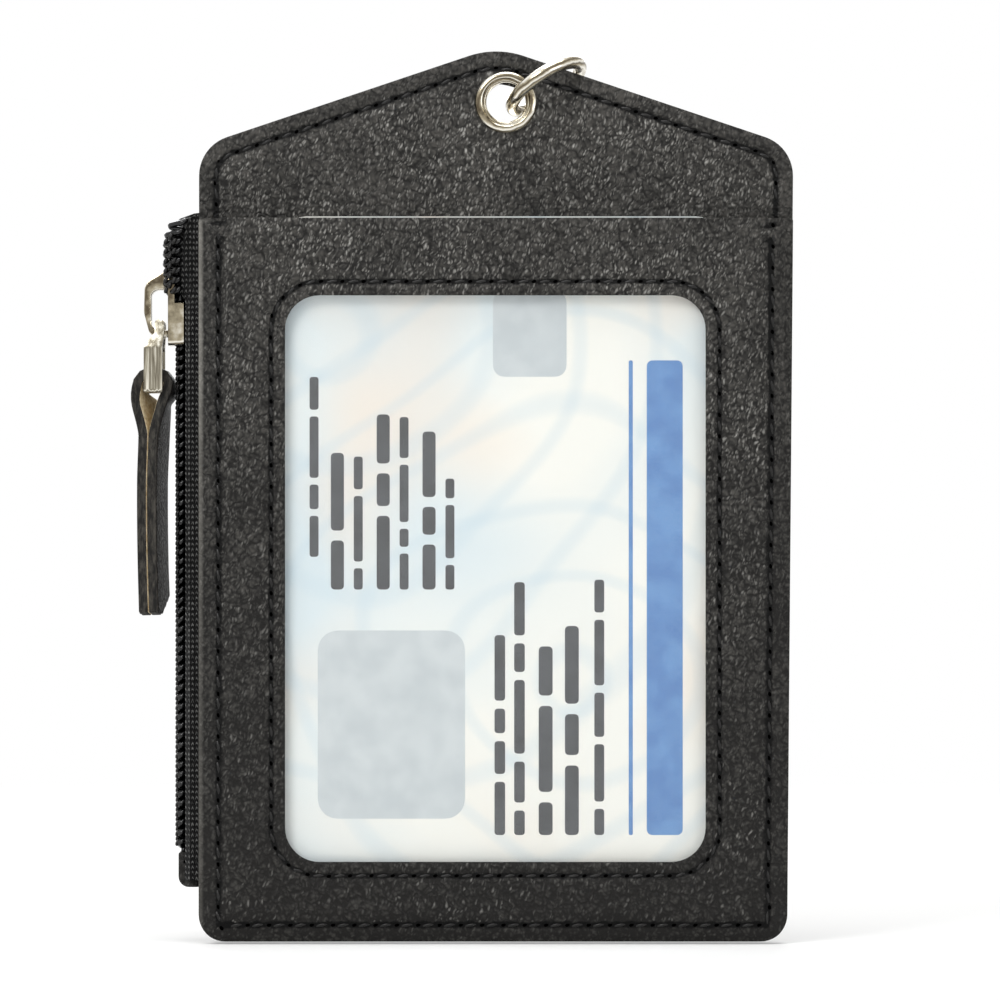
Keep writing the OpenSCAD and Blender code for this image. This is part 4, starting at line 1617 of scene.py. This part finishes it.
@dataclass
class Fittings:
    """The eyelet and the jump ring."""

    finishes: Finishes
    bore: float = 2.4
    barrel: float = 0.35
    rim: float = 3.8
    rim_lift: float = 0.65
    rim_steps: int = 24
    turn_steps: int = 96
    ring_steps: int = 150
    step: tuple[float, float, float] = (0.16, 0.42, 0.13)
    roll_steps: int = 10
    washer: float = 3.6
    washer_t: float = 0.3
    leather: float = 1.1
    ring: float = 4.87
    wire: float = 0.8
    gap: float = 0.7
    bearing: float = 21.9
    reach: float = 5.31
    ring_back: float = 0.27
    turn: float = 32.4
    tilt: float = 16.25
    cut_at: float = -60.0

    @staticmethod
    def _turned(name: str, profile: Sequence[Point], steps: int) -> Piece:
        """Spins a closed profile round the eyelet's axis.

        Args:
            name: name of the new piece.
            profile: points of radius and Y, in millimetres.
            steps: faces round the axis.

        Returns:
            The closed piece.
        """
        piece = added(bpy.ops.mesh.primitive_circle_add, name, vertices=len(profile), radius=MM,
                      fill_type="NOTHING")
        for vertex, (r, y) in zip(piece.data.vertices, profile):
            vertex.co = at(r, y, 0)
        with editing(piece):
            bpy.ops.mesh.spin(steps=steps, angle=2 * math.pi, center=(0, 0, 0), axis=(0, 1, 0))
            bpy.ops.mesh.select_all(action="SELECT")
            bpy.ops.mesh.remove_doubles(threshold=1e-7)
        return finish_mesh(piece, 50)

    def eyelet(self) -> None:
        """Rolls the barrel with its rounded rim to the front, a step pressed in by the bore."""
        bead, wall = (self.rim - self.bore) / 2, self.bore + self.barrel
        back = self.leather + self.washer_t
        depth, out, width = self.step
        profile = []
        for i in range(self.rim_steps + 1):
            t = math.pi * i / self.rim_steps
            r = self.bore + bead - bead * math.cos(t)
            lift = self.rim_lift * math.sin(t) ** 0.85 - depth * dent(r, self.bore + out, width)
            profile.append((r, -(self.leather + max(0.0, lift))))
        profile += [(wall, -self.leather), (wall, back)]
        for i in range(1, self.roll_steps + 1):
            t = math.pi * i / self.roll_steps
            profile.append((wall + self.barrel * math.cos(t), back + self.barrel * math.sin(t)))
        dress(self._turned("eyelet", profile, self.turn_steps), "wallet",
              (self.finishes.nickel,), ("eyelet_barrel",))

    def back_washer(self) -> None:
        """Turns the dished washer behind the leather."""
        low, high = self.leather + 0.01, self.leather + self.washer_t
        inner, outer = self.bore + self.barrel + 0.05, self.washer
        profile = [(inner, low), (outer, low), (outer, high - 0.12), (outer - 0.1, high - 0.03),
                   (outer - 0.3, high), (inner + 0.1, high), (inner, high - 0.1)]
        dress(self._turned("eyelet_back_washer", profile, 80), "wallet",
              (self.finishes.nickel,), ("eyelet_washer",))

    def jump_ring(self) -> None:
        """Spins the wire round once but for its cut, and bevels the two ends."""
        bearing = math.radians(self.bearing)
        placing = (Matrix.Translation(at(self.reach * math.cos(bearing), self.ring_back,
                                         self.reach * math.sin(bearing)))
                   @ Matrix.Rotation(math.radians(-self.turn), 4, "Y")
                   @ Matrix.Rotation(math.radians(180 - self.tilt), 4, "X"))
        cut = self.gap / self.ring
        start = math.radians(self.cut_at) + cut / 2
        piece = added(bpy.ops.mesh.primitive_circle_add, "split_ring", vertices=24,
                      radius=self.wire * MM, fill_type="NGON")
        piece.data.transform(Matrix.Rotation(start, 4, "Z")
                             @ Matrix.Translation(at(self.ring, 0, 0))
                             @ Matrix.Rotation(math.pi / 2, 4, "X"))
        with editing(piece):
            bpy.ops.mesh.spin(steps=self.ring_steps, angle=2 * math.pi - cut, center=(0, 0, 0),
                              axis=(0, 0, 1))
            # The spin leaves one end of the wire open, which is filled here.
            bpy.ops.mesh.select_all(action="DESELECT")
            bpy.ops.mesh.select_mode(type="EDGE")
            bpy.ops.mesh.select_non_manifold(extend=False, use_wire=True, use_boundary=True,
                                             use_multi_face=False, use_non_contiguous=False,
                                             use_verts=False)
            bpy.ops.mesh.edge_face_add()
        piece.data.transform(placing)
        soften(piece, 0.1, 60)
        dress(finish_mesh(piece, 50), "ring", (self.finishes.nickel,), ("jump_ring",))

    def build(self) -> None:
        """Builds the eyelet, its washer and the ring."""
        self.eyelet()
        self.back_washer()
        self.jump_ring()


@dataclass
class Zip:
    """Both halves of the coil zip, parted above the slider, and the leather tab below."""

    body: Body
    finishes: Finishes
    tape: float = 0.45
    tape_out: float = 1.75
    tape_gap: float = 1.2
    tape_foot: float = -95.3
    tape_steps: int = 130
    flap: float = 5.0
    selvedge: float = 0.8
    pitch: float = 1.19
    wire: float = 0.34
    tooth_height: float = 1.15
    tooth_length: float = 2.6
    bite: float = 0.45
    top: float = -13.5
    foot: float = -91.95
    split: float = -24.83
    lean_from: float = -24.6
    lean_at: float = -22.6
    tuck_at: float = -17.6
    parted: float = 1.15
    lean: tuple[Point, ...] = ((0.55, 0.17), (1.15, 0.16), (2.05, 0.4))
    knot: float = 0.3
    tab_out: float = 2.62
    tab_span: Point = (-96.15, -91.85)
    tab_seam: float = -93.0

    @property
    def head(self) -> float:
        """How far the coil's heads reach past the tape's edge."""
        return self.tape_gap / 2 + self.bite - self.wire

    @property
    def heel(self) -> float:
        """Where the coil's heels lie, counted as its heads are."""
        return self.head - self.tooth_length + 2 * self.wire

    def half_depth(self, z: float) -> float:
        """Depth at which the back half lies at a height."""
        return self.body.along(max(z, self.body.foot_open))

    def line(self, z: float) -> list[Vector]:
        """Middle line of the front half of the tape: closed, leaning out, or tucked in.

        Args:
            z: height, in millimetres.

        Returns:
            Three points in X and Y, from the fold to the tape's edge.
        """
        run, flap_y, middle = -(self.tape_out - self.tape / 2), self.tape / 2, self.body.pocket / 2
        apart = self.parted * smooth((z - self.split) / 2)
        closed = [Vector((run + self.tape, flap_y)), Vector((run, flap_y + self.tape)),
                  Vector((run, middle - self.tape_gap / 2)) - Vector((0, apart))]
        lean = [Vector((run * a, middle * b)) for a, b in self.lean]
        if z <= self.lean_from:
            return closed
        if z <= self.lean_at:
            t = smooth((z - self.lean_from) / (self.lean_at - self.lean_from))
            return [p.lerp(q, t) for p, q in zip(closed, lean)]
        t = max(0.0, (z - self.tuck_at) / (self.top - self.tuck_at))
        reach = mixed(0.1, 1.0, math.sqrt(max(0.0, 1 - t * t)))
        return [Vector((p.x * reach, p.y)) for p in lean]

    def placed(self, p: Vector, z: float, half: Half) -> Vector:
        """Point of the front half's section, on its own half, in metres."""
        y = p.y if half is Half.FRONT else self.half_depth(z) - p.y
        return at(self.body.left + p.x, y, z)

    def _folded(self, z: float) -> list[Vector]:
        """Middle line of the tape at a height, from the flap's end."""
        return [Vector((self.flap, self.tape / 2)), Vector((0, self.tape / 2))] + self.line(z)

    def _section(self, z: float) -> list[Vector]:
        """Closes the tape's section round its middle line.

        Args:
            z: height, in millimetres.

        Returns:
            The section's points, out along one face and back along the other.
        """
        line = self._folded(z)
        tip = (line[-1] - line[-2]).normalized()
        line[-1] = line[-1] + tip * (self.selvedge * smooth((z - self.lean_from) / 1.4))
        outer, inner = [], []
        ways = [(b - a).normalized() for a, b in zip(line, line[1:])]
        for p, a, b in zip(line, ways[:1] + ways, ways + ways[-1:]):
            m = (a + b).normalized()
            off = Vector((-m.y, m.x)) * (self.tape / 2 / m.dot(a))
            outer.append(p + off)
            inner.append(p - off)
        return outer + inner[::-1]

    def _across(self, z: float) -> list[float]:
        """Measures the section's points along the tape.

        Args:
            z: height, in millimetres.

        Returns:
            Distance of every point from the flap's end, in metres.
        """
        line = self._folded(z)
        sums = [0.0]
        for a, b in zip(line, line[1:]):
            sums.append(sums[-1] + (b - a).length * MM)
        return sums + sums[::-1]

    def tape_half(self, half: Half) -> None:
        """Builds the tape of one half.

        Args:
            half: which half.
        """
        foot = self.body.foot_open if half is Half.BACK else self.tape_foot
        heights = [mixed(foot, self.top, i / self.tape_steps) for i in range(self.tape_steps + 1)]
        rows = [[self.placed(p, z, half) for p in self._section(z)] for z in heights]
        across = [self._across(z) for z in heights]
        piece = shaped_grid(f"zip_tape_{half.value}_woven", capped(rows), closed=True,
                            values={"across": across[:1] + across + across[-1:]})
        dress(finish_mesh(piece, 35), "wallet", (self.finishes.tape,),
              (f"zip_tape_{half.value}",))

    def _frame_at(self, z: float) -> tuple[Vector, Vector, Vector]:
        """Finds the tape's edge.

        Args:
            z: height, in millimetres.

        Returns:
            Edge of the tape's outer face with the ways along and out, in X and Y.
        """
        line = self.line(z)
        along = (line[2] - line[1]).normalized()
        out = Vector((-along.y, along.x))
        return line[2] + out * (self.tape / 2), along, out

    def _beside(self, z: float, half: Half, along: float, out: float) -> Vector:
        """Place in metres, so far along past the tape's edge and out from its face."""
        edge, way, off = self._frame_at(z)
        return self.placed(edge + way * along + off * out, z, half)

    def coil_half(self, half: Half) -> None:
        """Winds the nylon wire through all the teeth of one half.

        Args:
            half: which half.
        """
        head, heel, low, high = self.head, self.heel, self.wire * 0.8, self.tooth_height - self.wire
        turn = ((heel, low), (mixed(heel, head, 0.5), low), (head - 0.15, low), (head, low + 0.15),
                (head + 0.03, (low + high) / 2), (head, high - 0.12), (head - 0.2, high),
                (mixed(heel, head, 0.5), high), (heel + 0.2, high), (heel, high - 0.15),
                (heel - 0.06, (low + high) / 2), (heel - 0.02, low + 0.1))
        first = self.foot + self.pitch / 2 + (self.pitch / 2 if half is Half.BACK else 0.0)
        count = int((self.top - first) / self.pitch) - (1 if half is Half.BACK else 0)
        path = [self._beside(first + (i + (k - 3) / len(turn)) * self.pitch, half, a, n)
                for i in range(count) for k, (a, n) in enumerate(turn)]
        rows = tube_rows(path, self.wire * MM, 8, 0.8)
        piece = shaped_grid(f"zip_coil_{half.value}_wound", rows, closed=True)
        dress(finish_mesh(piece, 70), "wallet", (self.finishes.coil,),
              (f"zip_coil_{half.value}",))

    def coil_stitching(self, half: Half) -> None:
        """Sews the coil to its tape: three columns of chain stitch, two below the slider.

        Args:
            half: which half.
        """
        knot = added(bpy.ops.mesh.primitive_uv_sphere_add, "knot", segments=8, ring_count=5,
                     radius=self.knot * MM)
        knot.data.transform(Matrix.Rotation(math.radians(25), 4, "Y")
                            @ Matrix.Diagonal((0.9, 1.0, 1.5, 1.0)))
        columns = ((self.heel + 0.2, 0.0), (self.heel + 0.85, 0.5), (self.heel + 1.5, 0.0))
        first = self.foot + (self.pitch / 2 if half is Half.BACK else 0.0) + self.pitch
        pieces = []
        for i in range(int((self.top - first) / self.pitch) - 1):
            z = first + i * self.pitch
            free = z > self.lean_from
            # Below the slider the knots sink into the coil, so that its channel clears them.
            lift = self.tooth_height + (0.02 if free else -0.12)
            for a, shift in columns[:2 + free]:
                spot = self._beside(z + shift * self.pitch, half, a, lift)
                pieces.append(copied(knot, Matrix.Translation(spot)))
        bpy.data.objects.remove(knot)
        piece = finish_mesh(joined(f"zip_chain_stitch_{half.value}", pieces), 70)
        dress(piece, "wallet", (self.finishes.thread,))

    def tab(self) -> None:
        """Folds the leather tab round the zip's lower end and sews it once."""
        left, (low, high) = self.body.left, self.tab_span
        x0, x1 = left - self.tab_out, left - 0.04
        outline = Outline(((x0, low), (x1, low), (x1, high), (x0, high)), (1.3, 0.3, 0.3, 0.3),
                          6, 8)
        levels = ((0.9, 0.35), (1.0, 0.12), (1.25, 0.0), (2.0, 0.0), (4.0, 0.0), (6.0, 0.0),
                  (6.75, 0.0), (7.0, 0.12), (7.1, 0.35))
        rows = [[at(p.x, y, p.y) for p in outline.loop(d)] for y, d in levels]
        piece = finish_mesh(shaped_grid("zip_tab_leather", capped(rows), closed=True), 50)
        dress(piece, "wallet", (self.finishes.leather,), ("zip_end_tab",))
        path = [Vector((left - 2.5, self.tab_seam)), Vector((left - 0.2, self.tab_seam))]
        seam = Seam("zip_tab_seam", path, lambda x, z: levels[0][0], -1.0, pitch=0.8, length=0.62,
                    thread=0.16)
        dress(seam.build(self.finishes), "wallet")

    def build(self) -> None:
        """Builds the tapes, the coils, their stitching and the tab."""
        for half in Half:
            self.tape_half(half)
            self.coil_half(half)
            self.coil_stitching(half)
        self.tab()


@dataclass
class SliderPull:
    """Slider, link and folded leather strap."""

    finishes: Finishes
    bar: tuple[float, float, float] = (-43.25, 4.0, -34.76)
    strap_w: float = 5.8
    strap_t: float = 1.22
    strap_steps: tuple[int, int] = (92, 12)
    layer: float = 0.025
    end: float = -62.7
    end_cut: float = 5.0
    loop_twist: float = 13.0
    twist: float = 12.0
    sway: Point = (0.25, 28.0)
    squeezed: float = 0.92
    ragged: float = 0.12

    def _metal(self, node: str, name: str, body: str, bevel: float, plate: Material) -> None:
        """Softens a copy of a cast CAD piece.

        Args:
            node: the CAD node.
            name: name of the new piece.
            body: name of the body that carries it.
            bevel: width of the softened edges, in millimetres.
            plate: its material.
        """
        piece = copied(frame["nodes"][node], Matrix.Identity(4))
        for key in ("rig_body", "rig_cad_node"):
            if key in piece:
                del piece[key]
        piece.parent = None
        piece.name = piece.data.name = name
        piece.data.materials.clear()
        with editing(piece):
            bpy.ops.mesh.remove_doubles(threshold=2e-6)
            bpy.ops.mesh.dissolve_limited(angle_limit=math.radians(2))
        soften(piece, bevel, 35, segments=3)
        modify(piece, "TRIANGULATE")
        dress(finish_mesh(piece, 45), body, (plate,), (node,))

    def _fold(self) -> list[Vector]:
        """Draws the strap's fold as seen edge on.

        Returns:
            Points in X from the bar and Z, from the end of one layer to the end of the other.
        """
        bz = self.bar[2]
        side = [(self.layer, self.end), (self.layer, bz - 20), (self.layer, bz - 12),
                (self.layer, bz - 7.0), (self.layer + 0.04, bz - 5.6), (0.45, bz - 4.0),
                (0.9, bz - 2.5), (1.18, bz - 1.2), (1.28, bz), (1.2, bz + 0.6)]
        crown = [(-0.75, bz + 1.1), (0.0, bz + 1.25), (0.75, bz + 1.1)]
        path = [(-x, z) for x, z in side] + crown + [(x, z) for x, z in reversed(side)]
        return self._eased([Vector(p) for p in path], self.strap_steps[0])

    def strap_rows(self) -> Rows:
        """Lays the inner surface of the folded strap, twisted, swaying and cut aslant.

        Returns:
            Rows across the strap, from the end of one layer to the end of the other.
        """
        bx, by, bz = self.bar
        half, across = self.strap_w / 2, self.strap_steps[1]
        rows = []
        for p in self._fold():
            fall = smooth((bz - 3 - p.y) / 9)
            angle = math.radians(mixed(self.loop_twist, self.twist, fall)) * smooth(
                (bz + 1.1 - p.y) / 3.4)
            sway = self.sway[0] * math.sin((bz - p.y) / self.sway[1] * math.pi) * fall
            row = []
            for k in range(across + 1):
                v = (k / across - 0.5) * self.strap_w
                cut = max(0.0, -v - half + 0.7) * 0.5 + max(0.0, v + 0.6) * 0.6
                cut += self.ragged * math.sin(v * 5.3 + p.x * 9.0)
                z = p.y + cut * max(0.0, 1 - (p.y - self.end) / self.end_cut)
                share = 1 - self.squeezed * (k / across) * smooth((bz - 0.7 - p.y) / 1.3)
                x = bx + p.x * share * math.cos(angle) + v * math.sin(angle) - sway
                row.append(at(x, by + v * math.cos(angle) - p.x * math.sin(angle), z))
            rows.append(row)
        return rows

    @staticmethod
    def _eased(points: list[Vector], count: int, fine: int = 12) -> list[Vector]:
        """Draws a smooth curve through points.

        Args:
            points: the points.
            count: number of even steps along the curve.
            fine: steps between two points while the curve is measured.

        Returns:
            The curve's points.
        """
        dense = []
        for i in range(len(points) - 1):
            a, b = points[max(i - 1, 0)], points[i]
            c, d = points[i + 1], points[min(i + 2, len(points) - 1)]
            for t in (k / fine for k in range(fine)):
                dense.append(0.5 * (2 * b + (c - a) * t + (2 * a - 5 * b + 4 * c - d) * t ** 2
                                    + (3 * b - a - 3 * c + d) * t ** 3))
        dense.append(points[-1])
        places = [p for p, _ in along_path(dense, path_length(dense) / count)]
        return [dense[0]] + places + [dense[-1]]

    def strap(self) -> None:
        """Folds the strap: grain outside, tan flesh inside, dark cut edges."""
        f = self.finishes
        piece = thickened(shaped_grid("pull_strap_leather", self.strap_rows(), flip=True),
                          (f.strap_leather, f.flesh, f.strap_edge), self.strap_t, 1.0, 0.14)
        dress(piece, "strap", replaced=("pull_strap",))

    def build(self) -> None:
        """Builds the metal pieces and the strap."""
        self._metal("slider_body", "slider_cast_body", "slider", 0.14, self.finishes.nickel)
        self._metal("slider_bridge", "slider_cast_bridge", "slider", 0.16, self.finishes.nickel)
        self._metal("pull_link", "pull_cast_link", "pull", 0.16, self.finishes.brushed)
        self.strap()


@dataclass
class Studio:
    """Floor, lights and camera."""

    body: Body
    middle: Point = (-0.73, -48.66)
    view_width: float = 121.95
    distance: float = 800.0
    sensor: float = 36.0
    floor_gap: float = 0.3
    floor_size: float = 6.0
    soft_light: float = 0.34

    @staticmethod
    def _seen(node: Adder) -> Socket:
        """Tells the rays that look from the others.

        Args:
            node: adds a node to a tree.

        Returns:
            1 for rays from the camera, from a shine or through something clear, or else 0.
        """
        seen = node("LightPath", out="Is Camera Ray")
        for name in ("Is Glossy Ray", "Is Transmission Ray"):
            seen = node("Math", {0: seen, 1: node("LightPath", out=name)}, operation="MAXIMUM")
        return seen

    def floor(self) -> None:
        """Lays the pale floor under the wallet's foot, white to the eye further away."""
        floor = added(bpy.ops.mesh.primitive_plane_add, "floor", size=self.floor_size)
        floor.data.transform(Matrix.Translation(at(0, 0, self.body.foot - self.floor_gap)))
        material = FloorCard().material()
        nodes, node = material.node_tree.nodes, partial(add_node, material.node_tree)
        flat = node("VectorMath", {0: node("TexCoord", out="Object"), 1: (1.0, 1.0, 0.0)},
                    operation="MULTIPLY")
        away = node("VectorMath", {0: flat}, "Value", operation="LENGTH")
        far = node("MapRange", {"Value": away, "From Min": 0.08, "From Max": 0.45, "To Min": 0.3})
        share = node("Math", {0: far, 1: self._seen(node)}, operation="MULTIPLY")
        glow = node("Emission", {"Color": linear("#ffffff"), "Strength": 1.0})
        card = nodes["Principled BSDF"].outputs[0]
        feed(nodes["Material Output"],
             {"Surface": node("MixShader", {0: share, 1: card, 2: glow})})
        coat(floor, material)

    def world(self) -> None:
        """White surroundings for the camera, metal and vinyl, and soft light for the rest."""
        world = bpy.data.worlds.new("Studio")
        bpy.context.scene.world = world
        world.use_nodes = True
        world.node_tree.nodes.clear()
        node = partial(add_node, world.node_tree)
        soft, white = (node("Background", {"Color": linear("#ffffff"), "Strength": strength})
                       for strength in (self.soft_light, 1.0))
        feed(world.node_tree.nodes.new("ShaderNodeOutputWorld"),
             {"Surface": node("MixShader", {0: self._seen(node), 1: soft, 2: white})})

    def lamp(self, name: str, place: tuple[float, float, float], size: Point,
             power: float) -> None:
        """Sets a soft rectangular lamp, aimed at the wallet's middle.

        Args:
            name: name of the lamp.
            place: where it stands, in metres.
            size: its width and height, in metres.
            power: its power, in watts.
        """
        deselect()
        bpy.ops.object.light_add(type="AREA", location=place)
        lamp = bpy.context.object
        lamp.name = name
        lamp.data.shape = "RECTANGLE"
        lamp.data.size, lamp.data.size_y = size
        lamp.data.energy = power
        aim = at(self.middle[0], 0, self.middle[1]) - lamp.location
        lamp.rotation_euler = aim.to_track_quat("-Z", "Y").to_euler()

    def camera(self) -> None:
        """Sets a long lens straight at the window side."""
        deselect()
        x, z = self.middle
        y = self.body.front - self.distance
        bpy.ops.object.camera_add(location=at(x, y, z), rotation=(math.pi / 2, 0, 0))
        camera = bpy.context.object
        camera.data.sensor_width = self.sensor
        camera.data.lens = self.sensor * self.distance / self.view_width
        camera.data.clip_start, camera.data.clip_end = 0.01, 20.0
        bpy.context.scene.camera = camera

    def build(self) -> None:
        """Sets the whole studio."""
        self.floor()
        self.world()
        self.lamp("key_lamp", (-0.35, -0.5, 0.4), (0.3, 0.3), 2.5)
        self.lamp("fill_lamp", (0.55, -0.5, -0.05), (0.4, 0.4), 0.9)
        self.lamp("top_lamp", (0.05, -0.12, 0.6), (0.5, 0.3), 2.5)
        self.lamp("back_lamp", (-0.1, 0.6, 0.25), (0.5, 0.4), 2.2)
        self.camera()
        bpy.context.scene.view_settings.view_transform = "Standard"


def main() -> None:
    """Builds the wallet and its studio."""
    logging.basicConfig(level=logging.INFO, format="%(name)s %(message)s")
    body, finishes = Body(), Finishes()
    Studio(body).build()
    LeatherBody(body, finishes).build()
    CardWindow(body, finishes).build()
    Linings(body, finishes).build()
    Fittings(finishes).build()
    Zip(body, finishes).build()
    SliderPull(finishes).build()


if __name__ == "__main__":
    main()
